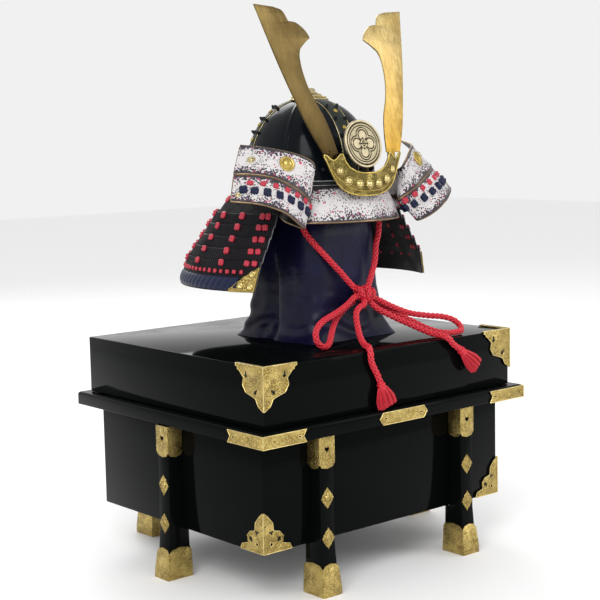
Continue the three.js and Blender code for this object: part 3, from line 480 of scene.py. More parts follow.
def smoothRoute(points, steps):
    # centripetal curve through the points, cut at even spaces
    table = np.array(points, float)
    fine = []
    for i in range(len(table) - 1):
        p1, p2 = table[i], table[i + 1]
        p0 = table[i - 1] if i else 2 * p1 - p2
        p3 = table[i + 2] if i + 2 < len(table) else 2 * p2 - p1
        k = np.cumsum([0] + [max(np.linalg.norm(b - a), 1e-9) ** 0.5
                             for a, b in ((p0, p1), (p1, p2), (p2, p3))])
        for u in np.linspace(k[1], k[2], 24, endpoint=False):
            a1 = ((k[1] - u) * p0 + (u - k[0]) * p1) / (k[1] - k[0])
            a2 = ((k[2] - u) * p1 + (u - k[1]) * p2) / (k[2] - k[1])
            a3 = ((k[3] - u) * p2 + (u - k[2]) * p3) / (k[3] - k[2])
            b1 = ((k[2] - u) * a1 + (u - k[0]) * a2) / (k[2] - k[0])
            b2 = ((k[3] - u) * a2 + (u - k[1]) * a3) / (k[3] - k[1])
            fine.append(((k[2] - u) * b1 + (u - k[1]) * b2) / (k[2] - k[1]))
    fine = np.array([*fine, table[-1]])
    reach = np.concatenate([[0], np.cumsum(np.linalg.norm(np.diff(fine, axis=0), axis=1))])
    want = np.linspace(0, reach[-1], steps + 1)
    return np.stack([np.interp(want, reach, fine[:, a]) for a in range(table.shape[1])], 1)


# geometry node trees

class Recipe:
    # a geometry node tree with named inputs, and short ways to add its nodes

    def __init__(self, name, **sockets):
        self.tree = bpy.data.node_groups.new(name, "GeometryNodeTree")
        for way in ("OUTPUT", "INPUT"):
            self.tree.interface.new_socket("Geometry", in_out=way, socket_type="NodeSocketGeometry")
        for label, kind in sockets.items():
            self.tree.interface.new_socket(label, in_out="INPUT", socket_type="NodeSocket" + kind)
        self.given = self.tree.nodes.new("NodeGroupInput").outputs
        self.result = self.tree.nodes.new("NodeGroupOutput").inputs[0]

    def add(self, kind, inputs=None, output=0, **settings):
        return addNode(self.tree, kind, inputs, **settings).outputs[output]

    def math(self, operation, *values):
        return self.add("ShaderNodeMath", dict(enumerate(values)), operation=operation)

    def vector(self, operation, *values, output=0):
        return self.add("ShaderNodeVectorMath", dict(enumerate(values)), output, operation=operation)

    def scaled(self, vector, factor):
        return self.add("ShaderNodeVectorMath", {0: vector, "Scale": factor}, operation="SCALE")

    def swept(self, curve, sides, radius):
        profile = self.add("GeometryNodeCurvePrimitiveCircle", {"Resolution": sides, "Radius": radius})
        return self.add("GeometryNodeCurveToMesh",
                        {"Curve": curve, "Profile Curve": profile, "Fill Caps": True})

    def joined(self, *parts):
        join = self.tree.nodes.new("GeometryNodeJoinGeometry")
        for part in parts:
            self.tree.links.new(part, join.inputs[0])
        return join.outputs[0]

    def smooth(self, geometry):
        return self.add("GeometryNodeSetShadeSmooth", {"Geometry": geometry})

    def real(self, geometry):
        return self.add("GeometryNodeRealizeInstances", {"Geometry": geometry})

    def painted(self, geometry, skin, where=True):
        inputs = {"Geometry": geometry, "Selection": where, "Material": self.given[skin]}
        return self.add("GeometryNodeSetMaterial", inputs)

    def ended(self, geometry):
        self.tree.links.new(geometry, self.result)
        return self.tree


def braidTree():
    # strands wound both ways round a path, each passing over and under the others, round a darker core that
    # is painted shade in the gaps
    plait = Recipe("plaitedCord", Strands="Int", Ring="Float", Rise="Float", Strand="Float", Pitch="Float",
                   Core="Float", Step="Float", Finish="Material", CoreFinish="Material")
    given, math = plait.given, plait.math
    path = plait.add("GeometryNodeResampleCurve", {"Curve": given["Geometry"], "Length": given["Step"]},
                     mode="LENGTH")
    side = plait.add("GeometryNodeInputNormal")
    other = plait.vector("CROSS_PRODUCT", plait.add("GeometryNodeInputTangent"), side)
    length = plait.add("GeometryNodeSplineParameter", output="Length")
    turn = math("DIVIDE", math("MULTIPLY", length, 2 * pi), given["Pitch"])
    swell = math("MULTIPLY", math("COSINE", math("MULTIPLY", turn, given["Strands"])), given["Rise"])
    windings = []
    for way in (1, -1):
        copies = addNode(plait.tree, "GeometryNodeDuplicateElements",
                         {"Geometry": path, "Amount": given["Strands"]},
                         domain="SPLINE").outputs
        share = math("DIVIDE", copies["Duplicate Index"], given["Strands"])
        angle = math("ADD", math("MULTIPLY", turn, way), math("MULTIPLY", share, 2 * pi))
        radius = math("ADD", given["Ring"], math("MULTIPLY", swell, way))
        offset = plait.vector("ADD", plait.scaled(side, math("MULTIPLY", math("COSINE", angle), radius)),
                              plait.scaled(other, math("MULTIPLY", math("SINE", angle), radius)))
        moved = plait.add("GeometryNodeSetPosition", {"Geometry": copies["Geometry"], "Offset": offset})
        windings.append(plait.swept(moved, 6, given["Strand"]))
    strands = plait.painted(plait.joined(*windings), "Finish")
    # the core is darker than the strands: painted shade in the gaps between them
    core = plait.painted(plait.swept(path, 8, given["Core"]), "CoreFinish")
    return plait.ended(plait.real(plait.smooth(plait.joined(strands, core))))


def edgingTree():
    # a round bead along every path
    bead = Recipe("edging", Radius="Float", Sides="Int", Finish="Material")
    swept = bead.swept(bead.given["Geometry"], bead.given["Sides"], bead.given["Radius"])
    return bead.ended(bead.painted(bead.real(bead.smooth(swept)), "Finish"))


def scatterTree():
    # one stud on every point, standing along "aim", turned to "along" and as large as "size"
    studs = Recipe("scatterStuds", Stud="Object", Finish="Material")
    stud = studs.add("GeometryNodeObjectInfo", {"Object": studs.given["Stud"]}, "Geometry",
                     transform_space="ORIGINAL")
    aim, along, size = [studs.add("GeometryNodeInputNamedAttribute", {"Name": label},
                                  data_type="FLOAT_VECTOR")
                        for label in ("aim", "along", "size")]
    upright = studs.add("FunctionNodeAlignRotationToVector", {"Vector": aim}, axis="Z")
    turned = studs.add("FunctionNodeAlignRotationToVector", {"Rotation": upright, "Vector": along},
                       axis="X", pivot_axis="Z")
    spots = studs.add("GeometryNodeInstanceOnPoints", {
        "Points": studs.given["Geometry"], "Instance": stud, "Rotation": turned, "Scale": size})
    return studs.ended(studs.painted(studs.smooth(studs.real(spots)), "Finish"))


def ribTree():
    # sinks upright grooves into the outer face of a curved plate, by its UV map
    ribs = Recipe("uprightRibs", RibWidth="Float", Depth="Float", Middle="Vector", Finish="Material")
    strip = ribs.add("GeometryNodeInputNamedAttribute", {"Name": "UVMap"}, data_type="FLOAT_VECTOR")
    along = ribs.add("ShaderNodeSeparateXYZ", {0: strip}, "X")
    turn = ribs.math("MULTIPLY", ribs.math("DIVIDE", along, ribs.given["RibWidth"]), pi)
    wave = ribs.math("ABSOLUTE", ribs.math("SINE", turn))
    reach = ribs.vector("SUBTRACT", ribs.add("GeometryNodeInputPosition"), ribs.given["Middle"])
    outward = ribs.vector("NORMALIZE", ribs.vector("MULTIPLY", reach, (1, 1, 0)))
    facing = ribs.vector("DOT_PRODUCT", ribs.add("GeometryNodeInputNormal"), outward, output="Value")
    outside = ribs.math("GREATER_THAN", facing, 0.3)
    depth = ribs.math("MULTIPLY", ribs.math("SUBTRACT", wave, 1.0), ribs.given["Depth"])
    offset = ribs.scaled(outward, ribs.math("MULTIPLY", depth, outside))
    moved = ribs.add("GeometryNodeSetPosition", {"Geometry": ribs.given["Geometry"], "Offset": offset})
    return ribs.ended(ribs.painted(ribs.real(moved), "Finish", outside))


trees = {"braid": braidTree(), "edging": edgingTree(), "scatter": scatterTree(), "ribs": ribTree()}


def baked(carrier, tree, values):
    # runs the tree on the carrier, keeps its result as a plain mesh, and drops the modifier
    modifier = carrier.modifiers.new(tree.name, "NODES")
    modifier.node_group = tree
    for item in tree.interface.items_tree:
        if item.item_type == "SOCKET" and item.in_out == "INPUT" and item.name in values:
            modifier[item.identifier] = values[item.name]
    carrier.update_tag()
    graph = bpy.context.evaluated_depsgraph_get()
    done = carrier.evaluated_get(graph)
    mesh = bpy.data.meshes.new_from_object(done, preserve_all_data_layers=True, depsgraph=graph)
    name, old = carrier.name, carrier.data
    bpy.data.objects.remove(carrier)
    (bpy.data.meshes if isinstance(old, bpy.types.Mesh) else bpy.data.curves).remove(old)
    mesh.name = name
    return linked(name, mesh)


def piece(name, shape, skins, slot, *nodes, sharp=35, flip=True):
    return settled(makePiece(name, shape, [finish[skin] for skin in skins], sharp, flip), slot, *nodes)


def pathCurve(name, routes, closed=False):
    # routes in metres
    curve = bpy.data.curves.new(name, "CURVE")
    curve.dimensions = "3D"
    for route in routes:
        spline = curve.splines.new("POLY")
        spline.points.add(len(route) - 1)
        spline.points.foreach_set("co", np.concatenate([route, np.ones((len(route), 1))], 1).ravel())
        spline.use_cyclic_u = closed
    return linked(name, curve)


def strand(name, routes, radius, skin, slot, *nodes, sides=8, closed=False):
    # a round bead along every route, in metres
    values = {"Radius": radius, "Sides": sides, "Finish": finish[skin]}
    return settled(baked(pathCurve(name, routes, closed), trees["edging"], values), slot, *nodes)


def edging(name, routes, radius, skin, slot, sides=8, closed=False):
    # the same, with routes and radius in millimetres
    routes = [np.asarray(route) * mm for route in routes]
    return strand(name, routes, radius * mm, skin, slot, sides=sides, closed=closed)


def scatter(name, spots, shape, skin, slot):
    # spots in millimetres: place, aim, along, size; the stud itself stays out of the scene
    mesh = bpy.data.meshes.new(name + "_stud")
    mesh.from_pydata((np.asarray(shape[0]) * mm).tolist(), [], [list(f) for f in shape[1]])
    tidyMesh(mesh)
    stud = bpy.data.objects.new(name + "_stud", mesh)
    points = bpy.data.meshes.new(name)
    points.from_pydata([tuple(np.asarray(spot[0]) * mm) for spot in spots], [], [])
    for label, column in (("aim", 1), ("along", 2), ("size", 3)):
        table = [spot[column] if hasattr(spot[column], "__len__") else (spot[column],) * 3 for spot in spots]
        values = points.attributes.new(label, "FLOAT_VECTOR", "POINT")
        values.data.foreach_set("vector", np.array(table, float).ravel())
    made = baked(linked(name, points), trees["scatter"], {"Stud": stud, "Finish": finish[skin]})
    return settled(made, slot)


makeCamera()
makeStudio()


# cords, in metres

cordSettings = {
    "diameter": 0.007, "strands": 4, "ring": 0.00225, "rise": 0.0004, "strand": 0.00098,
    "pitch": 0.0215, "core": 0.0021, "step": 0.00085,
}
chinRoute = [
    (0.016, -0.088, 0.298), (0.0095, -0.085, 0.3031), (0.005, -0.082, 0.3088), (-0.0053, -0.0795, 0.3205),
    (-0.0188, -0.078, 0.3335), (-0.0312, -0.0755, 0.3463), (-0.0374, -0.0695, 0.356),
    (-0.0416, -0.0635, 0.3658), (-0.0434, -0.0595, 0.383), (-0.0436, -0.055, 0.396),
    (-0.0498, -0.038, 0.406), (-0.0523, -0.016, 0.409), (-0.046, 0.0198, 0.409), (-0.031, 0.0378, 0.409),
    (-0.006, 0.0468, 0.409), (0.024, 0.0468, 0.409), (0.049, 0.0378, 0.409), (0.064, 0.0198, 0.409),
    (0.0703, -0.016, 0.409), (0.067, -0.042, 0.406), (0.059, -0.06, 0.396), (0.0614, -0.0664, 0.384),
    (0.0632, -0.0695, 0.3708), (0.0587, -0.0735, 0.3588), (0.0513, -0.077, 0.3461),
    (0.0484, -0.079, 0.3352), (0.045, -0.0805, 0.3254), (0.039, -0.082, 0.3138), (0.0322, -0.085, 0.3045),
    (0.026, -0.088, 0.298),
]
leftLoopRoute = [
    (0.013, -0.09, 0.294), (0.0055, -0.09, 0.2923), (-0.0077, -0.093, 0.286), (-0.0232, -0.097, 0.2809),
    (-0.0416, -0.102, 0.2767), (-0.0561, -0.107, 0.2738), (-0.0683, -0.112, 0.2686),
    (-0.0744, -0.116, 0.2623), (-0.0748, -0.119, 0.2548), (-0.0695, -0.1205, 0.2496),
    (-0.0615, -0.1185, 0.2488), (-0.053, -0.1135, 0.2514), (-0.0445, -0.107, 0.2583),
    (-0.033, -0.098, 0.266), (-0.0185, -0.089, 0.2732), (-0.0022, -0.083, 0.2804), (0.013, -0.082, 0.2875),
]
rightLoopRoute = [
    (0.028, -0.09, 0.2915), (0.0385, -0.091, 0.2874), (0.0545, -0.098, 0.2783), (0.0732, -0.107, 0.2698),
    (0.0904, -0.117, 0.2662), (0.108, -0.126, 0.2636), (0.1184, -0.133, 0.259), (0.1212, -0.139, 0.253),
    (0.1165, -0.1445, 0.2492), (0.1065, -0.1475, 0.2488), (0.095, -0.1465, 0.2488), (0.0865, -0.138, 0.25),
    (0.0795, -0.126, 0.2542), (0.0694, -0.1085, 0.2634), (0.056, -0.093, 0.2738), (0.0441, -0.084, 0.2812),
    (0.031, -0.0835, 0.2885),
]
leftTailRoute = [
    (0.018, -0.092, 0.29), (0.0125, -0.098, 0.2846), (0.0017, -0.1025, 0.2832), (-0.0065, -0.106, 0.2784),
    (-0.0104, -0.11, 0.2708), (-0.0138, -0.1155, 0.2636), (-0.0207, -0.126, 0.2562),
    (-0.0282, -0.1393, 0.2506), (-0.034, -0.15, 0.249), (-0.0384, -0.1585, 0.2493),
    (-0.0406, -0.163, 0.2448), (-0.0396, -0.163, 0.236), (-0.0364, -0.1628, 0.229),
    (-0.0313, -0.1629, 0.2203), (-0.0277, -0.163, 0.2126),
]
rightTailRoute = [
    (0.025, -0.092, 0.2875), (0.031, -0.0985, 0.2786), (0.0425, -0.107, 0.2706), (0.05, -0.116, 0.265),
    (0.057, -0.127, 0.2596), (0.0635, -0.137, 0.2546), (0.0695, -0.1475, 0.2504), (0.0736, -0.157, 0.2494),
    (0.077, -0.163, 0.246), (0.0835, -0.1632, 0.2394), (0.0925, -0.1634, 0.2335),
]


def braid(name, node, routes, closed=False):
    values = {key.capitalize(): value for key, value in cordSettings.items()}
    values.update({"Finish": finish["redSilk"], "CoreFinish": finish["coreShadeSilk"]})
    return settled(baked(pathCurve(name, routes, closed), trees["braid"], values), "silk", node)


def makeCord(name, route, pieces=()):
    path = smoothRoute(route, 10 * len(route))
    cord = braid(name + "_braid", name, [path])
    list(pieces)


knotSettings = {
    "centre": (0.021, -0.089, 0.2945),
    "rings": [  # offset, radii, tilt and lean in degrees: the wraps that bind the bow
        ((0.0, -0.0005, 0.0), (0.0072, 0.0068), 8, 0),
        ((0.0066, 0.0, -0.001), (0.0062, 0.0062), 34, 10),
        ((-0.0066, 0.0, 0.001), (0.0062, 0.0062), -22, -10),
    ],
}


def makeKnot():
    routes = []
    for offset, (deep, high), tilt, lean in knotSettings["rings"]:
        turn = Matrix.Rotation(radians(tilt), 3, "Y") @ Matrix.Rotation(radians(lean), 3, "Z")
        middle = Vector(knotSettings["centre"]) + Vector(offset)
        routes.append(np.array([middle + turn @ Vector((0, deep * cos(a), high * sin(a)))
                                for a in roundAngles(40)]))
    return braid("bow_knot", "cord_knot", routes, True)


tasselSettings = {
    "threads": 150, "thread": 0.00042, "seed": 7, "bead": 0.0013,
    "head": [(0.02, 0.0026), (0.1, 0.0038), (0.19, 0.0036), (0.27, 0.003)],  # share of the length, radius
    "pieces": [  # name, top, bottom, half width, half thickness
        ("tassel_left", (-0.0275, -0.1634, 0.2117), (-0.0194, -0.1664, 0.1856), 0.014, 0.006),
        ("tassel_right", (0.093, -0.1634, 0.2332), (0.118, -0.1662, 0.211), 0.011, 0.006),
    ],
}


def makeTassel(name, top, bottom, wide, thick):
    rng = random.Random(tasselSettings["seed"])
    top, bottom = Vector(top), Vector(bottom)
    along = (bottom - top).normalized()
    across = Vector((0, 1, 0)).cross(along).normalized()
    out = along.cross(across)
    reach = (bottom - top).length
    routes = []
    for i in range(tasselSettings["threads"]):
        a, r = rng.uniform(0, 2 * pi), rng.uniform(0, 1) ** 0.45
        u, v = r * cos(a), r * sin(a)
        bend = rng.uniform(-0.12, 0.12)
        thread = []
        for t in (0.2, 0.32, 0.5, 0.7, 0.86, rng.uniform(0.94, 1.0)):
            spread = 0.24 + 0.7 * min(1, (t - 0.12) / 0.6) ** 0.8
            aside = across * ((u * spread + bend * (t - 0.2) ** 2) * wide)
            deep = out * (v * min(0.9, spread + 0.1) * thick)
            thread.append(tuple(top + along * (reach * t) + aside + deep))
        routes.append(smoothRoute(thread, 8))
    threads = strand(name + "_threads", routes, tasselSettings["thread"], "redSilk", "silk", name, sides=4)
    rings = []
    for share, size in tasselSettings["head"]:
        centre = top + along * (reach * share)
        rings.append(np.array([tuple(centre + across * (size * cos(a)) + out * (size * 0.85 * sin(a)))
                               for a in roundAngles(20)]))
    return [threads, strand(name + "_head", rings, tasselSettings["bead"], "redSilk", "silk", closed=True)]


tasselPieces = {name: makeTassel(name, *rest) for name, *rest in tasselSettings["pieces"]}
bowKnot = makeKnot()
makeCord("chin_cord", chinRoute, [bowKnot])
makeCord("bow_loop_left", leftLoopRoute)
makeCord("bow_loop_right", rightLoopRoute)
makeCord("cord_tail_left", leftTailRoute, tasselPieces["tassel_left"])
makeCord("cord_tail_right", rightTailRoute, tasselPieces["tassel_right"])
print("cords done")


# chest and legs

chestSettings = {
    "boards": [("chest_body", 0.8), ("chest_rim", 0.6), ("chest_lid", 1.1)],  # name, softened edge
    "plates": ("lid_corner_right", "lid_corner_left", "rim_strip_right", "rim_strip_left",
               "body_corner_right", "body_corner_left", "centre_plate"),
    "legs": [  # name, place of the wall behind it, turn
        ("front_left", -104, -144.5, 0), ("front_right", 104, -144.5, 0), ("side_right", 173.5, 0, 90),
        ("back_right", 104, 144.5, 180), ("back_left", -104, 144.5, 180), ("side_left", -173.5, 0, -90),
    ],
    "legDepth": [(30, 21.0), (52.4, 19.0), (166.6, 18.0)],  # height, front of the leg from the chest wall
    "legEdge": 0.7, "brassEdge": 0.28,
    "diamond": {"halfWide": 8.7, "halfHigh": 11.6, "curve": 1.12},
    "diamondHeights": (102.0, 60.0), "diamondSink": 0.2,
}


def cleanedForm(source):
    # a working copy of a solid, its doubled points joined and its flat faces whole
    work = bmesh.new()
    work.from_mesh(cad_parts[source].data)
    bmesh.ops.remove_doubles(work, verts=work.verts, dist=2e-6)
    bmesh.ops.dissolve_limit(work, angle_limit=radians(1.5), verts=work.verts, edges=work.edges)
    return work


def refined(source, skin, slot, edge=0.0):
    # a solid's own form with softened edges
    work = cleanedForm(source)
    if edge:
        sharp = [e for e in work.edges if e.is_manifold and e.calc_face_angle(0) > radians(25)]
        bmesh.ops.bevel(work, geom=sharp, offset=edge * mm, segments=2, profile=0.5, affect="EDGES",
                        clamp_overlap=True)
    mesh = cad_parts[source].data.copy()
    work.to_mesh(mesh)
    work.free()
    mesh.materials.clear()
    mesh.materials.append(finish[skin])
    mesh.polygons.foreach_set("material_index", [0] * len(mesh.polygons))
    mesh.shade_smooth()
    mesh.set_sharp_from_angle(angle=radians(32))
    return settled(linked(source + "_form", mesh), slot, source)


def diamondShape(halfWide, halfHigh, curve):
    # a notched plate with four curved sides, and a round boss on it
    rings = []
    for share, z in ((1.0, 0.0), (1.0, 0.75), (0.9, 1.15), (0.8, 0.7), (0.42, 0.7), (0.36, 1.3), (0.2, 1.9),
                     (0.03, 2.1)):
        ring = []
        for a in roundAngles(32):
            reach = (abs(cos(a) / halfWide) ** curve + abs(sin(a) / halfHigh) ** curve) ** (-1 / curve)
            notch = 1 - 0.1 * (0.5 + 0.5 * cos(12 * a + pi)) if share > 0.75 else 1
            r = reach * share * notch if share > 0.4 else 3.4 * share / 0.36
            ring.append((r * cos(a), r * sin(a), z))
        rings.append(ring)
    return cappedRings(rings)


for board, edge in chestSettings["boards"]:
    refined(board, "chest", "lacquer", edge)
for leg, *_ in chestSettings["legs"]:
    refined("leg_" + leg, "chest", "lacquer", chestSettings["legEdge"])
    refined("leg_cap_" + leg, "brass", "brass", chestSettings["brassEdge"])
    refined("leg_shoe_" + leg, "brass", "brass", chestSettings["brassEdge"])
for plate in chestSettings["plates"]:
    refined(plate, "brass", "brass", chestSettings["brassEdge"])

spots = []
for leg, x, y, turn in chestSettings["legs"]:
    spin = Matrix.Rotation(radians(turn), 3, "Z")
    for z in chestSettings["diamondHeights"]:
        depth = float(np.interp(z, *zip(*chestSettings["legDepth"])))
        place = Vector((x, y, 0)) + spin @ Vector((0, chestSettings["diamondSink"] - depth, z))
        spots.append((place, spin @ Vector((0, -1, 0)), spin @ Vector((1, 0, 0)), 1.0))
scatter("leg_diamonds", spots, diamondShape(**chestSettings["diamond"]), "brass", "brass")

plateSettings = {
    "lid": (180, 158, 245), "body": (173.5, 144.5, 53.4), "rim": (191, 169, 179.9),  # half sizes, top or foot
    "holeProud": 1.17, "tackProud": 1.2,
    "holes": [  # back from the corner, up, turn
        ("lid", 26, -9, 90), ("lid", 11, -25, 45), ("body", 9, 21, 15), ("body", 19, 12.5, 70),
    ],
    "tacks": [  # back from the corner, up
        ("lid", 38, -4.2), ("lid", 5, -39.5), ("lid", 29, -18), ("lid", 4.2, -4.2), ("body", 31, 3.2),
        ("body", 4, 37), ("body", 20, 17), ("rim", 4, -6.4), ("rim", 24, -6.4), ("rim", 38, -6.4),
    ],
    "middleTacks": [(x, -170.2, 173.7) for x in (-30.5, -14, 14, 30.5)],
}
holeSpots, tackSpots = [], []
for side in (1, -1):
    for plate, back, up, turn in plateSettings["holes"]:
        x, y, base = plateSettings[plate]
        proud, level, rise = plateSettings["holeProud"], cos(radians(turn)), sin(radians(turn))
        front = Vector((side * (x - back), -y - proud, base + up))
        holeSpots.append((front, Vector((0, -1, 0)), Vector((side * level, 0, rise)), 1.0))
        flank = Vector((side * (x + proud), -y + back, base + up))
        holeSpots.append((flank, Vector((side, 0, 0)), Vector((0, -level, rise)), 1.0))
    for plate, back, up in plateSettings["tacks"]:
        x, y, base = plateSettings[plate]
        proud = plateSettings["tackProud"]
        tackSpots.append((Vector((side * (x - back), -y - proud, base + up)), (0, -1, 0), (1, 0, 0), 1.0))
        tackSpots.append((Vector((side * (x + proud), -y + back, base + up)), (side, 0, 0), (0, 1, 0), 1.0))
for place in plateSettings["middleTacks"]:
    tackSpots.append((Vector(place), (0, -1, 0), (1, 0, 0), 1.0))


def rimLines(source, share=0.12):
    # the sharp edges round the outer faces of a plate, but for its small slots
    work = cleanedForm(source)
    largest = max(face.calc_area() for face in work.faces)
    outer = set()
    for face in work.faces:
        centre = face.calc_center_median()
        if face.calc_area() > share * largest and face.normal.x * centre.x + face.normal.y * centre.y > 0.05:
            outer.add(face)
    lines = []
    for edge in work.edges:
        if outer.intersection(edge.link_faces) and edge.is_manifold and edge.calc_face_angle(0) > radians(40):
            line = np.array([vertex.co / mm for vertex in edge.verts])
            middle, length = line.mean(axis=0), np.linalg.norm(line[1] - line[0])
            if length > 12 or all(np.linalg.norm(middle - spot[0]) > 6 for spot in holeSpots):
                lines.append(line)
    work.free()
    return lines


def cloverShape(size, lobes, depth):
    # a flat hole with round lobes, wider than high
    ring = []
    for a in roundAngles(36):
        reach = size * (1 - depth + depth * cos(lobes * a))
        ring.append((reach * cos(a) * 1.35, reach * sin(a), 0))
    return cappedRings([ring, [(x * 0.93, y * 0.93, 0.14) for x, y, z in ring]])


plateLines = [line for plate in chestSettings["plates"] for line in rimLines(plate)]
# the raised rims take the brighter gilt, a painted highlight
edging("brass_rims", plateLines, 0.5, "bead", "brass", 6)
scatter("pierced_holes", holeSpots, cloverShape(2.7, 3, 0.34), "iron", "brass")
tackShape = spunShape([(1.5, 0), (1.42, 0.45), (1.05, 0.85), (0.5, 1.08), (0.1, 1.14)], 12)
scatter("brass_tacks", tackSpots, tackShape, "gilt", "brass")
print("chest done")


# post and satin cloth

clothSettings = {
    "sections": [  # height, half width, corner radius, centre
        (245.4, 70, 18, 12, -17), (252, 66.5, 19, 12, -17), (265, 62, 22, 12, -17), (300, 57, 24, 12, -17),
        (360, 54.5, 26, 12, -17), (400, 49, 28, 12, -17), (450, 44, 30, 11, -17), (480, 36, 30, 9, -16.2),
        (496.5, 26, 25, 9, -16.2), (504, 18, 17.9, 9, -16.2), (506.2, 8, 7.9, 9, -16.2),
    ],
    "around": 220, "rows": 90, "wall": 0.7,
    "folds": [  # place round the cloth from 0 to 1, width, depth, how far it leans, height where it starts
        (0.06, 0.018, 3.2, 0.05, 380), (0.12, 0.04, 2.4, -0.06, 400), (0.21, 0.022, 4.6, 0.05, 400),
        (0.245, 0.016, 4.2, -0.02, 380), (0.32, 0.04, 3.0, 0.06, 380), (0.42, 0.02, 3.4, 0.02, 400),
        (0.47, 0.016, 5.0, -0.04, 420), (0.56, 0.035, 3.0, 0.05, 390), (0.64, 0.02, 4.0, -0.05, 400),
        (0.71, 0.018, 5.5, 0.045, 405), (0.745, 0.014, 4.5, -0.015, 380), (0.81, 0.04, 3.4, 0.06, 380),
        (0.88, 0.022, 3.0, -0.05, 360), (0.955, 0.03, 3.0, 0.06, 350),
    ],
}


def squareLoop(half, corner, count):
    # an even walk round a rounded square, from the middle of its front
    side = 2 * (half - corner)
    arc = corner * pi / 2
    total = 4 * (side + arc)
    loop = []
    for i in range(count):
        s = (i / count * total + side / 2) % total
        quarter, rest = divmod(s, side + arc)
        if rest < side:
            p = Vector((rest - side / 2, -half))
        else:
            a = (rest - side) / corner if corner else 0
            p = Vector((side / 2 + corner * sin(a), -half + corner * (1 - cos(a))))
        turn = quarter * pi / 2
        loop.append((p.x * cos(turn) - p.y * sin(turn), p.x * sin(turn) + p.y * cos(turn)))
    return np.array(loop)


def clothGrid(inset):
    table = np.array(clothSettings["sections"], float)
    heights = [*np.linspace(table[0, 0], 480, clothSettings["rows"]), *np.linspace(484, table[-1, 0], 12)]
    share = np.arange(clothSettings["around"]) / clothSettings["around"]
    grid = []
    for z in heights:
        half, corner, x, y = [float(np.interp(z, table[:, 0], table[:, k])) for k in range(1, 5)]
        half -= inset
        loop = squareLoop(half, min(corner, half - 0.05), clothSettings["around"])
        dent = np.zeros(len(share))
        for place, width, depth, lean, start in clothSettings["folds"]:
            fade = min(1.0, max(0.0, (start - z) / 90)) ** 1.3
            centre = place + lean * max(0.0, (start - z) / 180)
            gap = (share - centre + 0.5) % 1 - 0.5
            dent += depth * fade * np.exp(-(gap / width) ** 2) * (0.85 + 0.15 * sin(z * 0.09 + place * 40))
        foot = min(1.0, max(0.0, (302 - z) / 40)) * min(1.0, (z - 244) / 6)
        slump = np.sin(z * 0.3 + 2.2 * np.sin(share * 10 * pi + 0.8))
        slump = slump * (0.6 + 0.4 * np.sin(share * 6 * pi + 2))
        dent += 1.5 * foot * (1 + slump)
        size = np.hypot(loop[:, 0], loop[:, 1])
        loop = loop * np.maximum(0.05, 1 - dent / np.maximum(size, 1e-6))[:, None]
        lift = inset if z > 250 else 0
        grid.append(np.column_stack([loop[:, 0] + x, loop[:, 1] + y, np.full(len(loop), z - lift)]))
    crown = (table[-1, 3], table[-1, 4], grid[-1][0, 2] + 0.15)
    return np.array([*grid, np.tile(crown, (len(share), 1))])


refined("stand_post", "wood", "post_wood")
clothShape = shell(clothGrid(0), clothGrid(clothSettings["wall"]), True)[:3]
cloth = piece("satin_cloth", clothShape, ["satin"], "satin", "stand_cloth", sharp=70)


# helmet bowl, in millimetres about its upright axis

axis = np.array([9.0, -16.2, 0.0])
bowlSettings = {
    "halfX": 66.5, "halfY": 69.0, "rim": 421.0, "height": 89.0, "wall": 2.4, "plan": 2.5, "upright": 2.2,
    "around": 288, "rows": 34, "ridges": (64, -64, 180), "ridgeHigh": 0.8, "ridgeWide": 1.5, "ridgeEnd": 18,
    "strips": [  # azimuth from the front, half width, studs at these heights
        (0, 9.5, (448, 468, 486, 499)), (120, 6.5, (440, 457, 473, 487, 499)),
        (-120, 6.5, (440, 457, 473, 487, 499)),
    ],
    "stripLow": 423.5, "stripHigh": 506.5, "stripLift": 0.9, "stripSink": 1.2, "stripEdge": 0.35,
    "spikeShare": 0.72, "rivetAbove": 8, "knobs": (30, -30, 150, -150), "knobHeight": 432,
}
studProfiles = {  # radius, height
    "spike": [(2.9, -0.6), (2.9, 0.5), (2.3, 1.0), (1.7, 2.6), (0.9, 4.0), (0.15, 4.7)],
    "knob": [(2.4, -0.6), (2.6, 0.6), (2.2, 1.8), (1.3, 2.6), (0.2, 2.9)],
    "bead": [(0.7, -0.7), (1.0, 0.0), (0.85, 0.55), (0.45, 0.9), (0.05, 1.0)],
    "ring": [(2.7, -0.3), (2.9, 0.6), (2.2, 1.4), (1.6, 1.0), (1.25, 0.15), (0.1, 0.1)],
}


def ovalPoint(angle, halfX, halfY, power, z, shift=0.0):
    sx, sy = sin(angle), -cos(angle)
    reach = ((abs(sx) / halfX) ** power + (abs(sy) / halfY) ** power) ** (-1 / power)
    return np.array([sx * reach, sy * reach + shift, z]) + axis


def domePoint(angle, rise, lift=0.0):
    s = bowlSettings
    share = max(cos(rise), 1e-9) ** (2 / s["upright"])
    z = s["rim"] + (s["height"] + lift) * sin(rise) ** (2 / s["upright"])
    return ovalPoint(angle, (s["halfX"] + lift) * share, (s["halfY"] + lift) * share, s["plan"], z)


def riseAt(z):
    share = (z - bowlSettings["rim"]) / bowlSettings["height"]
    return float(np.arcsin(share ** (bowlSettings["upright"] / 2)))


def bowlSpot(angle, z, lift=0.0):
    # place, outward aim, level along-direction and size of a stud on the bowl
    rise = riseAt(z)
    side = domePoint(angle + 0.02, rise) - domePoint(angle - 0.02, rise)
    up = domePoint(angle, min(rise + 0.02, 1.57)) - domePoint(angle, max(rise - 0.02, 0))
    out = np.cross(side, up)
    out = out / np.linalg.norm(out)
    return domePoint(angle, rise) + out * lift, out, side / np.linalg.norm(side), 1.0


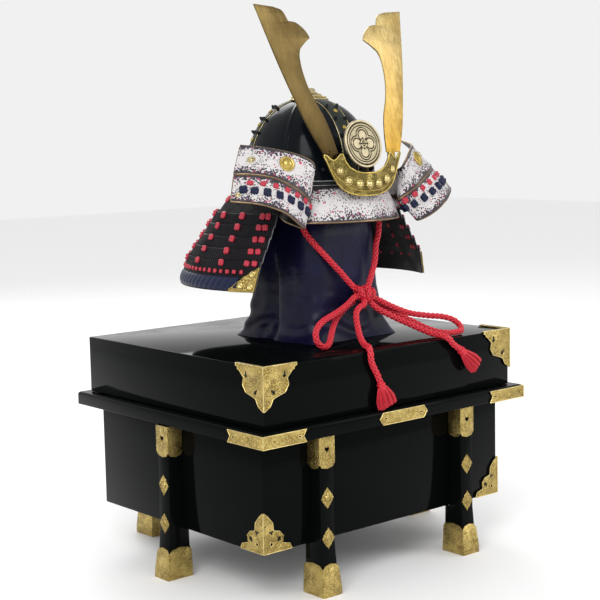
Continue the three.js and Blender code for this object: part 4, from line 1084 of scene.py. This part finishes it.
def bowlGrid(lift):
    s, grid = bowlSettings, []
    for r in range(s["rows"] + 1):
        rise = r / s["rows"] * pi / 2
        radius = s["halfX"] * cos(rise)
        row = []
        for angle in roundAngles(s["around"]):
            ridge = 0
            for azimuth in s["ridges"] if lift == 0 and radius > s["ridgeEnd"] else ():
                gap = (angle - radians(azimuth) + pi) % (2 * pi) - pi
                ridge += s["ridgeHigh"] * np.exp(-(gap * radius / s["ridgeWide"]) ** 2)
            row.append(domePoint(angle, rise, lift + ridge))
        grid.append(row)
    grid = np.array(grid)
    grid[-1] = grid[-1].mean(axis=0)
    return grid


def stripSpread(halfWidth, rise):
    # a strip's half width as an angle, held back near the crown
    radius = bowlSettings["halfX"] * max(cos(rise), 1e-6) ** (2 / bowlSettings["upright"])
    return min(halfWidth / max(12.0, radius), 0.75)


bowlShape = shell(bowlGrid(0), bowlGrid(-bowlSettings["wall"]), True)[:3]
piece("bowl_shell", bowlShape, ["bowl", "lining"], "bowl_lacquer", "bowl", sharp=60)

goldRoutes, spikeSpots, rivetSpots = [], [], []
across = np.linspace(-1, 1, 11)
stripLifts = np.where(np.abs(across) > 0.99, -0.5, bowlSettings["stripLift"] + 0.5 * (1 - across ** 2))
for number, (azimuth, halfWidth, heights) in enumerate(bowlSettings["strips"]):
    front = radians(azimuth)
    outer, inner, left, right = [], [], [], []
    for rise in np.linspace(riseAt(bowlSettings["stripLow"]), riseAt(bowlSettings["stripHigh"]), 30):
        spread = stripSpread(halfWidth, rise)
        outer.append([domePoint(front + a * spread, rise, lift) for a, lift in zip(across, stripLifts)])
        inner.append([domePoint(front + a * spread, rise, -bowlSettings["stripSink"]) for a in across])
        left.append(domePoint(front - spread, rise, bowlSettings["stripEdge"]))
        right.append(domePoint(front + spread, rise, bowlSettings["stripEdge"]))
    strip = shell(np.array(outer), np.array(inner))[:2]
    piece("bowl_strip_%d" % (number + 1), strip, ["plate"], "bowl_lacquer")
    goldRoutes += [np.array(left), np.array(right)]
    for z in heights:
        for way in (-1, 1):
            turn = way * bowlSettings["spikeShare"] * stripSpread(halfWidth, riseAt(z))
            spikeSpots.append(bowlSpot(front + turn, z, 0.8))
    rivetSpots += [bowlSpot(front, z + bowlSettings["rivetAbove"], 1.2) for z in heights[:-1]]
edging("bowl_strip_edges", goldRoutes, 0.55, "paleGilt", "gilt", 6)
scatter("bowl_spikes", spikeSpots, spunShape(studProfiles["spike"], 8), "iron", "bowl_lacquer")
knobSpots = [bowlSpot(radians(azimuth), bowlSettings["knobHeight"]) for azimuth in bowlSettings["knobs"]]
scatter("bowl_knobs", knobSpots, spunShape(studProfiles["knob"], 16), "iron", "bowl_lacquer")


def petalWave(petals, power=1):
    # draws a ring in between its petals
    return lambda angle, values: (-values[0] * (0.5 - 0.5 * cos(petals * angle)) ** power, 0)


def rosetteShape(radius, petals, dome):
    # a ring of petals round a dome
    notch, high = radius * 0.16, dome * 0.62
    rows = [(radius, -0.4, notch), (radius, 0.6, notch), (radius * 0.86, 1.25, notch * 0.6),
            (radius * 0.7, 0.55, 0), (dome * 1.12, 0.5, 0), (dome, 0.9, 0), (dome * 0.9, 0.6 + high * 0.5, 0),
            (dome * 0.6, 0.6 + high * 0.85, 0), (dome * 0.25, 0.6 + high, 0), (0.05, 0.62 + high, 0)]
    return spunShape(rows, max(48, petals * 4), petalWave(petals))


scatter("bowl_rivets", rivetSpots, rosetteShape(2.9, 8, 1.5), "gilt", "gilt")


# crown ornament

crownSettings = {
    "petals": 16, "steps": 128,
    "rings": [  # radius, height, petal depth
        [(8, 510.3, 0), (21.6, 507.7, 1.6), (22.4, 508.2, 1.6), (21.4, 509.6, 1.4), (18.4, 510.7, 0.5),
         (16.6, 510.6, 0), (8, 511.5, 0)],
        [(6, 511.3, 0), (15.4, 511.2, 1.1), (16.0, 511.9, 1.1), (14.9, 513.1, 1.0), (12.2, 514.0, 0.3),
         (11.2, 513.9, 0), (6, 514.6, 0)],
        [(5, 514.2, 0), (10.2, 514.4, 0.7), (10.7, 515.2, 0.7), (9.7, 516.4, 0.6), (8.3, 517.0, 0),
         (7.4, 517.2, 0), (7.6, 519.2, 0), (6.6, 520.6, 0), (4.0, 521.3, 0), (0.3, 521.5, 0)],
    ],
    "beads": [(18.9, 510.9, 32, 0.95), (13.1, 514.1, 24, 0.8)],  # ring radius, height, count, size
}
crownWave = petalWave(crownSettings["petals"], 2)
crownParts = [spunShape(ring, crownSettings["steps"], crownWave) for ring in crownSettings["rings"]]
crownPoints, crownFaces = merged(*crownParts)
piece("crown_petals", (crownPoints + axis, crownFaces), ["paleGilt"], "gilt", "crown_ornament", sharp=40,
      flip=False)
beadSpots = [(axis + (radius * sin(a), -radius * cos(a), z), (0, 0, 1), (1, 0, 0), size)
             for radius, z, count, size in crownSettings["beads"] for a in roundAngles(count)]
scatter("crown_beads", beadSpots, spunShape(studProfiles["bead"], 10), "gilt", "gilt")


# waist band and visor

bandSettings = {
    "halfX": 67.5, "halfY": 70.0, "wall": 2.0, "beads": (415.4, 420.2), "bead": 0.75,
    "rows": [(398, 0), (412, 0), (413.5, 0.35), (418, 0.35), (419.5, 0), (420.7, 0)],  # height, inset
}


def bandRow(inset, z):
    s = bandSettings
    return [ovalPoint(a, s["halfX"] - inset, s["halfY"] - inset, bowlSettings["plan"], z)
            for a in roundAngles(160)]


bandOuter = np.array([bandRow(inset, z) for z, inset in bandSettings["rows"]])
bandInner = np.array([bandRow(bandSettings["wall"], z) for z, inset in bandSettings["rows"]])
bandShape = shell(bandOuter, bandInner, True)[:3]
piece("waist_band_form", bandShape, ["plate", "lining"], "bowl_lacquer", "waist_band")
bandBeads = [np.array(bandRow(-0.2, z)) for z in bandSettings["beads"]]
edging("waist_band_beads", bandBeads, bandSettings["bead"], "silver", "bowl_lacquer", closed=True)

visorSettings = {
    "halfAngle": 52, "top": 414, "low": 377, "radius": 99, "wall": 2.2, "clear": 2.7, "bulge": 0.5,
    "rim": 1.25, "columns": 84, "rows": 12,
}


def visorGrid(inset):
    s = visorSettings

    def point(down, across):
        z = s["top"] + (s["low"] - s["top"]) * down
        angle = radians(s["halfAngle"] * (2 * across - 1))
        near = ovalPoint(angle, bandSettings["halfX"], bandSettings["halfY"], bowlSettings["plan"], z)
        near = (near - axis)[:2]
        start = near * (1 + s["clear"] / np.linalg.norm(near))
        end = np.array([sin(angle), -cos(angle)]) * s["radius"]
        out = start + (end - start) * down ** s["bulge"]
        out = out * (1 - inset / np.linalg.norm(out))
        return out[0] + axis[0], out[1] + axis[1], z
    return gridOf(np.linspace(0, 1, s["rows"] + 1), s["columns"], point)


visorOuter, visorInner = visorGrid(0), visorGrid(visorSettings["wall"])
piece("visor_leather", shell(visorOuter, visorInner), ["leather", "lining"], "leather", "visor")
visorMiddle = (visorOuter + visorInner) / 2
visorEdge = np.concatenate([visorMiddle[:, 0], visorMiddle[-1, 1:-1], visorMiddle[::-1, -1]])
edging("visor_rim", [visorEdge], visorSettings["rim"], "rim", "leather")
print("bowl and visor done")


# neck guard

neckSettings = {
    "top": 419, "round": 387, "bottom": 307, "shift": 13, "gamma": 58, "gammaLow": 63, "wall": 2.0,
    "lames": [  # high, low, radius at the top, radius at the bottom
        (419, 399, 69.9, 86.5), (402, 384, 86.6, 103.4), (387, 372, 104.9, 110.5), (375, 360, 112, 117.4),
        (363, 348, 118.9, 125.2), (351, 336, 126.5, 132.5), (339, 307, 134.3, 141.5),
    ],
    "ribs": 150, "ribDeep": 0.55,
    "knotRows": (399.5, 384.6, 373.2, 361, 348.8, 336.8),
    "knotColumns": (64.6, 68.4, 83, 102, 121.5, 141, 160.5, 180),
    "smallKnots": 58, "smallKnotHeight": 327.6,
}


def neckPoint(z, radius, turn):
    s = neckSettings
    rounding = min(max((z - s["round"]) / (s["top"] - s["round"]), 0), 1)
    shift = s["shift"] * (s["top"] - z) / (s["top"] - s["bottom"])
    deeper = 1 + rounding * (bandSettings["halfY"] / bandSettings["halfX"] - 1)
    power = 2 + rounding * (bowlSettings["plan"] - 2)
    return ovalPoint(radians(turn), radius, radius * deeper, power, z, shift)


def neckGamma(z):
    s = neckSettings
    return s["gamma"] + (s["gammaLow"] - s["gamma"]) * (s["top"] - z) / (s["top"] - s["bottom"])


def lameRadius(lame, z):
    high, low, upper, lower = lame
    return upper + (lower - upper) * (high - z) / (high - low)


def lameAt(z):
    return next(lame for lame in reversed(neckSettings["lames"]) if lame[0] >= z >= lame[1])


def lameFrame(z, turn, lift=0.0, lame=None):
    lame = lame or lameAt(z)
    here = neckPoint(z, lameRadius(lame, z), turn)
    side = neckPoint(z, lameRadius(lame, z), turn + 1) - neckPoint(z, lameRadius(lame, z), turn - 1)
    up = neckPoint(z + 1, lameRadius(lame, z + 1), turn) - neckPoint(z - 1, lameRadius(lame, z - 1), turn)
    out = np.cross(side, up)
    out = out / np.linalg.norm(out)
    return here + out * lift, out, side / np.linalg.norm(side)


def spreadTurn(z, share, edge=0.0):
    # degrees round the neck guard, by the share of the way from one front end to the other
    start = neckGamma(z) + edge
    return start + (360 - 2 * start) * share


def lameGrid(lame, inset):
    s = neckSettings
    downs = (0, 0.05, 0.2, 0.4, 0.6, 0.8, 0.95, 1) if lame[0] > s["round"] else (0, 0.06, 0.94, 1)

    def point(down, across):
        z = lame[0] + (lame[1] - lame[0]) * down
        edge = 0.5 if down in (0, 1) and not inset else 0
        return neckPoint(z, lameRadius(lame, z) - inset - edge, spreadTurn(z, across))
    return gridOf(downs, s["ribs"] * 4, point)


frontEdges = []
for number, lame in enumerate(neckSettings["lames"]):
    shape = shell(lameGrid(lame, 0), lameGrid(lame, neckSettings["wall"]))
    name = "lame_%d" % (number + 1)
    plain = makePiece(name + "_ribbed", shape, [finish["lame"], finish["lining"]], 50)
    ribs = {"RibWidth": float(shape[3][:, 0].max()) / neckSettings["ribs"],
            "Depth": neckSettings["ribDeep"] * mm,
            "Middle": [float(v) * mm for v in axis], "Finish": finish["lame"]}
    settled(baked(plain, trees["ribs"], ribs), "lame_lacquer", name)
    for way in (1, -1) if number > 1 else ():
        frontEdges.append([neckPoint(z, lameRadius(lame, z) - 0.9, way * (neckGamma(z) - 0.25))
                           for z in np.linspace(lame[0] - 0.5, lame[1] + 0.5, 6)])
edging("lame_front_edges", frontEdges, 0.6, "steel", "lame_lacquer")


def puffKnot(radius, high):
    # a soft crossed knot: four lobes with a sunk cross between them
    def lobe(angle, values):
        dip = (0.5 - 0.5 * cos(4 * angle)) ** 0.8
        return (-values[0] * (1 - dip), -values[1] * (1 - dip))
    rows = [(radius * 0.88, -0.8, radius * 0.14, 0), (radius, high * 0.32, radius * 0.2, 0),
            (radius * 0.8, high * 0.82, radius * 0.17, high * 0.2), (radius * 0.45, high, 0, high * 0.42),
            (radius * 0.06, high * 0.7, 0, 0)]
    return spunShape(rows, 16, lobe)


knotShape = puffKnot(4.2, 3.2)
rng = random.Random(5)


def uneven(side, size):
    # a knot tied by hand: a little turned, a little larger or smaller
    turned = Vector(side) + Vector([rng.uniform(-0.22, 0.22) for _ in range(3)])
    return turned.normalized(), tuple(size * rng.uniform(0.9, 1.1) for _ in range(3))


knotPlaces = [(row, turn * way) for row in range(len(neckSettings["knotRows"]))
              for turn in neckSettings["knotColumns"] for way in ((1, -1) if turn < 180 else (1,))]
knotSpots, smallSpots, stitchSpots = [], [], []
for row, turn in knotPlaces:
    here, out, side = lameFrame(neckSettings["knotRows"][row], turn, -0.5)
    knotSpots.append((here, out, *uneven(side, 0.95 if abs(turn) < 70 else 1.05)))
scatter("lame_knots", knotSpots, knotShape, "lacingSilk", "silk")
smallShares = np.linspace(0, 1, neckSettings["smallKnots"])
smallHeight = neckSettings["smallKnotHeight"]
for share in smallShares:
    here, out, side = lameFrame(smallHeight, spreadTurn(smallHeight, share, 8.5), -0.4)
    smallSpots.append((here, out, *uneven(side, 0.66)))
scatter("lame_small_knots", smallSpots, knotShape, "lacingSilk", "silk")
for row, turn in knotPlaces:  # where the lacing shows on the inner faces
    z, lame = neckSettings["knotRows"][row] + 1.5, neckSettings["lames"][row]
    here, out, side = lameFrame(z, turn, 0.3 - neckSettings["wall"], lame)
    stitchSpots.append((here, -out, side, (0.6, 0.75, 0.45)))
for share in smallShares[1:-1:2]:
    turn = spreadTurn(neckSettings["knotRows"][-1], share, 8.5)
    here, out, side = lameFrame(smallHeight, turn, 0.3 - neckSettings["wall"])
    stitchSpots.append((here, -out, side, (0.5, 0.5, 0.35)))
scatter("lame_inner_stitches", stitchSpots, knotShape, "lacingSilk", "silk")

hemSettings = {"high": 322.5, "low": 308.2, "proud": 2.4, "sink": 0.8, "turns": 60, "edge": 9.0, "rows": 8}


def hemGrid(back=False):
    # a padded navy binding with slanting stitches, or its plain back
    s, lame = hemSettings, neckSettings["lames"][-1]

    def point(down, across):
        z = s["high"] + (s["low"] - s["high"]) * down
        stitch = 0.55 + 0.45 * abs(sin(pi * (across * s["turns"] + down * 0.8)))
        lift = -s["sink"] if back else s["proud"] * max(0.0, sin(pi * down)) ** 0.6 * stitch - 0.2
        return neckPoint(z, lameRadius(lame, z) + lift, spreadTurn(z, across, s["edge"]))
    return gridOf(np.linspace(0, 1, s["rows"] + 1), s["turns"] * 6, point)


piece("neck_hem", shell(hemGrid(), hemGrid(True))[:2], ["navySilk"], "silk", sharp=60)

cornerSettings = {
    "high": 333, "low": 307.4, "turn": 12.5, "clear": 0.3, "thick": 1.0, "scallops": 4,
    "columns": 40, "rows": 12,
    "rivets": [(325.5, 2.3), (313.5, 6.8), (312.5, 2.0)],  # height, degrees back from the front end
}


def neckCornerGrid(outset):
    s, lame = cornerSettings, neckSettings["lames"][-1]

    def point(down, across):
        drop = (s["high"] - s["low"] - 2) * across ** 1.25
        drop += 1.7 * abs(sin(pi * s["scallops"] * across)) * (1 - across) ** 0.4
        z = s["high"] - drop + (s["low"] - s["high"] + drop) * down
        return neckPoint(z, lameRadius(lame, z) + s["clear"] + outset, neckGamma(z) + across * s["turn"])
    return gridOf(np.linspace(0, 1, s["rows"] + 1), s["columns"], point)


def handed(grid, side):
    grid = np.array(grid)
    grid[..., 0] = axis[0] + side * (grid[..., 0] - axis[0])
    return grid


cornerOuter, cornerInner = neckCornerGrid(cornerSettings["thick"]), neckCornerGrid(0)
cornerPoints, cornerFaces = shell(cornerOuter, cornerInner)[:2]
cornerEdge = np.concatenate([cornerOuter[::-1, 0], cornerOuter[0, 1:], cornerOuter[-1, ::-1]])
ringSpots = []
for side, hand in ((1, "right"), (-1, "left")):
    name = "neck_corner_" + hand
    piece(name + "_form", (handed(cornerPoints, side), cornerFaces), ["brass"], "gilt", name)
    edging(name + "_edge", [handed(cornerEdge, side)], 0.55, "gilt", "gilt", 6)
    ringSpots += [(*lameFrame(z, side * (neckGamma(z) + back), 1.3), 1.2)
                  for z, back in cornerSettings["rivets"]]
# the ring rivets take the brighter gilt, a painted highlight
scatter("neck_corner_rivets", ringSpots, spunShape(studProfiles["ring"], 20), "bead", "gilt")
print("neck guard done")


# turned-back wings

wingSettings = {
    "plate": 2.0, "steps": 66, "rows": 10, "clearance": 1.8, "tierGap": 1.7, "rim": 1.05, "knotSink": 0.6,
    "upper": [(68.5, -62, 427), (64, -82, 433), (69, -84.5, 441), (81, -77, 449), (102, -60, 456),
              (119, -26, 461)],
    "tier": [(78, -61, 398), (64.5, -74.5, 397), (80, -83.5, 408), (98, -82, 419), (114, -76, 427),
             (132, -61, 431.5), (145, -47, 432)],
    "lower": [(93, -68, 379), (83, -85, 372), (98, -94, 379), (118, -96, 392), (139, -84, 401),
              (162, -63, 405)],
    "bigRosette": (0.611, 0.40), "smallRosettes": [("upper", 0.889, 0.5, 0.62), ("lower", 0.955, 0.76, 0.42)],
    "redKnots": [0.12, 0.21, 0.305, 0.4, 0.495, 0.59, 0.685, 0.78, 0.875],
    "redLine": (0.14, 0.15, 0.45),  # share down, its further drop, where the drop starts
    "navyKnots": [0.165, 0.26, 0.35, 0.45, 0.552, 0.65, 0.745, 0.838, 0.92],
    "navyLine": (0.4, 0.16, 0.4),
}


def wingEdge(z, radius, route):
    root = neckPoint(z, radius - neckSettings["wall"], neckGamma(z) - wingSettings["clearance"]) - axis
    return smoothRoute([root, *route], wingSettings["steps"]) + axis


def wingGrid(upper, lower):
    share = np.linspace(0, 1, wingSettings["rows"] + 1)[:, None, None]
    return upper[None] * (1 - share) + lower[None] * share


def movedAside(grid, thickness):
    along = np.gradient(grid, axis=1)
    across = np.gradient(grid, axis=0)
    out = np.cross(along, across)
    return grid + out / np.linalg.norm(out, axis=2, keepdims=True) * thickness


def onGrid(grid, u, v, way=1, lift=0.0):
    # place, aim and along-direction at a share along and across the grid
    rows, columns = grid.shape[:2]
    c, r = u * (columns - 1), v * (rows - 1)
    i, j = min(int(c), columns - 2), min(int(r), rows - 2)
    a, b = c - i, r - j
    here = (grid[j, i] * (1 - a) + grid[j, i + 1] * a) * (1 - b)
    here = here + (grid[j + 1, i] * (1 - a) + grid[j + 1, i + 1] * a) * b
    along = grid[j, i + 1] - grid[j, i]
    out = -np.cross(along, grid[j + 1, i] - grid[j, i]) * way
    out = out / np.linalg.norm(out)
    return here + out * lift, out, along / np.linalg.norm(along)


def knotLine(grid, shares, line, side, size):
    down, drop, start = line
    spots = []
    for u in shares:
        v = down + drop * min(1, max(0, (u - start) / 0.4))
        here, out, along = onGrid(grid, u, v, side, -wingSettings["knotSink"])
        spots.append((here, out, *uneven(along, size)))
    return spots


first, second = neckSettings["lames"][:2]
upperEdge = wingEdge(first[0], first[2], wingSettings["upper"])
tierEdge = wingEdge(first[1], first[3], wingSettings["tier"])
lowerEdge = wingEdge(second[1], second[3], wingSettings["lower"])
lowerTop = tierEdge - (0, 0, wingSettings["tierGap"])
wings = {"upper": wingGrid(upperEdge, tierEdge), "lower": wingGrid(lowerTop, lowerEdge)}
redSpots, navySpots, bigSpots, smallWingSpots = [], [], [], []
for side, hand in ((1, "right"), (-1, "left")):
    faces = {tier: handed(grid, side) for tier, grid in wings.items()}
    for tier, outer in faces.items():
        inner = handed(movedAside(wings[tier], wingSettings["plate"]), side)
        name = "wing_%s_%s" % (tier, hand)
        piece(name + "_leather", shell(outer, inner), ["leather", "lining"], "leather", name)
        middle = (outer + inner) / 2
        loop = np.concatenate([middle[0], middle[1:, -1], middle[-1, -2::-1]])
        edging(name + "_rim", [loop], wingSettings["rim"], "rim", "leather")
    redSpots += knotLine(faces["lower"], wingSettings["redKnots"], wingSettings["redLine"], side, 0.95)
    navySpots += knotLine(faces["lower"], wingSettings["navyKnots"], wingSettings["navyLine"], side, 1.28)
    bigSpots.append((*onGrid(faces["upper"], *wingSettings["bigRosette"], side), 1.0))
    smallWingSpots += [(*onGrid(faces[tier], u, v, side), size)
                       for tier, u, v, size in wingSettings["smallRosettes"]]
scatter("wing_red_knots", redSpots, knotShape, "lacingSilk", "silk")
scatter("wing_navy_knots", navySpots, knotShape, "navySilk", "silk")
scatter("wing_rosettes", bigSpots, rosetteShape(9.0, 24, 5.4), "gilt", "gilt")
scatter("wing_small_rosettes", smallWingSpots, rosetteShape(8.0, 12, 3.6), "paleGilt", "gilt")
print("wings done")


# crest holder, medallion and horns

holderSettings = {
    "edges": [  # across, lower edge, upper edge
        (0, 404, 428), (8, 404.2, 428.2), (17, 405.2, 430), (26, 407.4, 434.5), (31, 409.6, 441),
        (34.5, 411.8, 448.6), (37, 413.8, 448.8), (41, 418, 444.6), (45, 424.5, 442), (49, 432.5, 444),
        (52.5, 440.5, 447.6), (55.5, 446.6, 448.6),
    ],
    "front": -96, "curve": 350, "plate": 2.0, "puff": 0.9, "rows": 10, "rim": 0.9, "line": 0.45,
    "pins": {"x": 13, "z": 409, "end": -83.8, "radius": 2.5},
    "rivets": [(0, 416), (14, 416.5), (-14, 416.5), (28, 420.5), (-28, 420.5), (38.5, 431), (-38.5, 431)],
}


def holderPoint(x, z, depth=0.0):
    return np.array([x, holderSettings["front"] + x * x / holderSettings["curve"] + depth, z]) + axis


def holderGrid(depth):
    table = np.array(holderSettings["edges"], float)
    full = np.concatenate([table[:0:-1] * (-1, 1, 1), table])
    end = table[-1, 0]
    xs = np.unique(np.concatenate([np.linspace(-end, end, 112), full[:, 0]]))
    low, high = np.interp(xs, full[:, 0], full[:, 1]), np.interp(xs, full[:, 0], full[:, 2])
    grid = []
    for share in np.arange(holderSettings["rows"] + 1) / holderSettings["rows"]:
        puff = 0 if depth else -holderSettings["puff"] * sin(pi * share) ** 0.7
        grid.append([holderPoint(x, z0 + (z1 - z0) * share, depth + puff)
                     for x, z0, z1 in zip(xs, low, high)])
    return np.array(grid)


holderOuter, holderInner = holderGrid(0), holderGrid(holderSettings["plate"])
piece("crest_holder_form", shell(holderOuter, holderInner)[:2], ["holder"], "gilt", "crest_holder", sharp=40)
pin, pins = holderSettings["pins"], []
for x in (-pin["x"], pin["x"]):
    route = [(x, y, pin["z"]) for y in (holderSettings["front"] + 1, holderSettings["front"] + 6, pin["end"])]
    pins.append(bentTube(np.array(route) + axis, pin["radius"]))
piece("crest_holder_pins", merged(*pins), ["gilt"], "gilt", sharp=40, flip=False)
holderEdge = np.concatenate([holderOuter[0], holderOuter[-1, ::-1]])
edging("crest_holder_rim", [holderEdge], holderSettings["rim"], "gilt", "gilt", closed=True)
innerLine = holderOuter[2, 6:-6] + (0, -0.2, 0)
edging("crest_holder_line", [innerLine], holderSettings["line"], "gilt", "gilt", 6)
rosetteSpots = []
for x, z in holderSettings["rivets"]:
    slope = 2 * x / holderSettings["curve"]
    out, level = Vector((slope, -1, 0)).normalized(), Vector((1, slope, 0)).normalized()
    rosetteSpots.append((holderPoint(x, z, -holderSettings["puff"]), out, level, 1.0 if abs(x) < 30 else 0.8))
# the rosettes take the brighter gilt, a painted highlight
scatter("crest_holder_rosettes", rosetteSpots, rosetteShape(5.2, 10, 3.4), "bead", "gilt")

medalSettings = {
    "radius": 26.3, "centre": (0, -87, 459), "lean": 13.5, "half": 2.0, "petal": 7.6, "petalOut": 9.3,
    "around": 160, "rings": 84,
    "post": [(0, -92.7, 412), (0, -92.7, 426), (0, -92.3, 437)], "postRadius": 2.2,
}
medalCentre = np.array(medalSettings["centre"]) + axis
medalLean = radians(medalSettings["lean"])
medalUp = np.array([0, sin(medalLean), cos(medalLean)])
medalOut = np.array([0, -cos(medalLean), sin(medalLean)])


def smoothStep(value, low, high):
    t = min(1, max(0, (value - low) / (high - low)))
    return t * t * (3 - 2 * t)


def band(value, middle, half):
    return 1 - smoothStep(abs(value - middle), half * 0.5, half)


def medalHeight(x, y):
    # a rim and ring, four round petals with raised borders, and a small diamond
    s, r = medalSettings, hypot(x, y)
    high = 0.5 + 0.4 * smoothStep(r, 23.6, 24.3) - 0.5 * band(r, 22.9, 0.8)
    high += 0.35 * band(r, 21.3, 0.9) - 0.35 * band(r, 19.9, 0.6)
    near = min(hypot(x - cx * s["petalOut"], y - cy * s["petalOut"])
               for cx, cy in ((1, 0), (-1, 0), (0, 1), (0, -1)))
    near /= s["petal"]
    high += 0.42 * band(near, 0.95, 0.12) - 0.45 * band(near, 0.78, 0.09) - 0.45 * band(near, 1.1, 0.09)
    high += 0.16 * (near < 0.7)
    diamond = abs(x) + abs(y)
    if diamond < 7.0:
        lines = band(min(abs(x), abs(y)), 0, 0.75) + band(diamond, 3.6, 0.55)
        high = 0.95 - 0.8 * min(1, lines) - 0.85 * smoothStep(diamond, 6.0, 6.5)
    return max(0, high)


def medalShape():
    s, angles = medalSettings, roundAngles(medalSettings["around"])
    radius, half, rings = s["radius"], s["half"], []
    for k in range(s["rings"] + 1):
        r = max(0.02, (radius - 0.5) * k / s["rings"])
        rings.append([(r * cos(a), r * sin(a), half - 1 + medalHeight(r * cos(a), r * sin(a)))
                      for a in angles])
    for r, high in ((radius, half - 0.9), (radius, -half + 0.6), (radius - 0.6, -half), (0.02, -half)):
        rings.append([(r * cos(a), r * sin(a), high) for a in angles])
    local, faces = cappedRings(rings)
    return medalCentre + local[:, :1] * (1, 0, 0) + local[:, 1:2] * medalUp + local[:, 2:] * medalOut, faces


medal = piece("medallion_face", medalShape(), ["medal"], "medal_metal", "medallion", sharp=60)
# the relief height, which the medal's finish turns into painted shade in the sunk parts
relief = medal.data.attributes.new("relief", "FLOAT", "POINT")
offsets = [np.array(vertex.co) / mm - medalCentre for vertex in medal.data.vertices]
relief.data.foreach_set("value", [medalHeight(offset[0], offset @ medalUp) for offset in offsets])
postShape = bentTube(np.array(medalSettings["post"]) + axis, medalSettings["postRadius"])
piece("medallion_post", postShape, ["medal"], "medal_metal", sharp=40)

hornSettings = {
    "outer": [(56, 449.2), (68, 475), (77, 500), (88, 535), (96, 565), (106, 606)],
    "head": [(81, 604), (70, 600.5), (66, 594), (64.5, 589.5), (54, 588), (43, 579.5), (39, 572), (47, 567),
             (56, 560)],
    "inner": [(56, 560), (59, 553), (59.8, 538), (57, 520), (51.8, 505), (44.6, 490), (39, 470),
              (35.6, 449.2)],
    "plate": 2.0, "edge": 0.35, "y": -87, "z": 447, "lean": 0.3125,
    "tang": [(38, 431), (48, 431), (48, 453), (38, 453)], "tangY": -86.1, "tangEdge": 0.2,
}


def flatPlate(name, outline, edge, place, skin, *nodes):
    # a plate cut to an outline, with softened edges
    curve = bpy.data.curves.new(name, "CURVE")
    curve.dimensions, curve.fill_mode = "2D", "BOTH"
    curve.extrude = (hornSettings["plate"] / 2 - edge) * mm
    curve.bevel_depth, curve.offset, curve.bevel_resolution = edge * mm, -edge * mm, 2
    spline = curve.splines.new("POLY")
    spline.points.add(len(outline) - 1)
    spline.use_cyclic_u = True
    spline.points.foreach_set("co", np.array([(x * mm, y * mm, 0, 1) for x, y in outline]).ravel())
    carrier = linked(name + "_curve", curve)
    graph = bpy.context.evaluated_depsgraph_get()
    mesh = bpy.data.meshes.new_from_object(carrier.evaluated_get(graph))
    bpy.data.objects.remove(carrier)
    mesh.transform(place)
    tidyMesh(mesh)
    mesh.materials.clear()
    mesh.materials.append(finish[skin])
    mesh.shade_smooth()
    mesh.set_sharp_from_angle(angle=radians(30))
    return settled(linked(name, mesh), "horn_gilt", *nodes)


def hornOutline(side):
    s = hornSettings
    outer = smoothRoute(s["outer"], 30)
    head = smoothRoute(s["head"][:4], 14)
    hook = smoothRoute(s["head"][3:7], 16)[1:]
    heel = smoothRoute(s["head"][6:], 10)[1:]
    inner = smoothRoute(s["inner"], 40)[1:]
    slope = hypot(1, s["lean"])
    return [(side * x, (z - s["z"]) * slope) for x, z in np.concatenate([outer, head, hook, heel, inner])]


tilt = np.arctan(hornSettings["lean"])
leaning = Matrix(((1, 0, 0, 0), (0, sin(tilt), -cos(tilt), 0), (0, cos(tilt), sin(tilt), 0), (0, 0, 0, 1)))
hornPlace = Matrix.Translation(Vector((axis[0], axis[1] + hornSettings["y"], hornSettings["z"])) * mm)
hornPlace = hornPlace @ leaning
tangLow = hornSettings["tang"][0][1]
tangPlace = Matrix.Translation(Vector((axis[0], axis[1] + hornSettings["tangY"], tangLow)) * mm)
tangPlace = tangPlace @ Matrix.Rotation(pi / 2, 4, "X")
for side, hand in ((1, "right"), (-1, "left")):
    # the left horn takes the darker copy of the gilt, painted shade
    skin, name = "horn" + hand.capitalize(), "horn_" + hand
    flatPlate(name + "_plate", hornOutline(side), hornSettings["edge"], hornPlace, skin, name)
    tang = [(side * x, z - tangLow) for x, z in hornSettings["tang"]]
    flatPlate(name + "_tang", tang, hornSettings["tangEdge"], tangPlace, skin)
print("crest done")
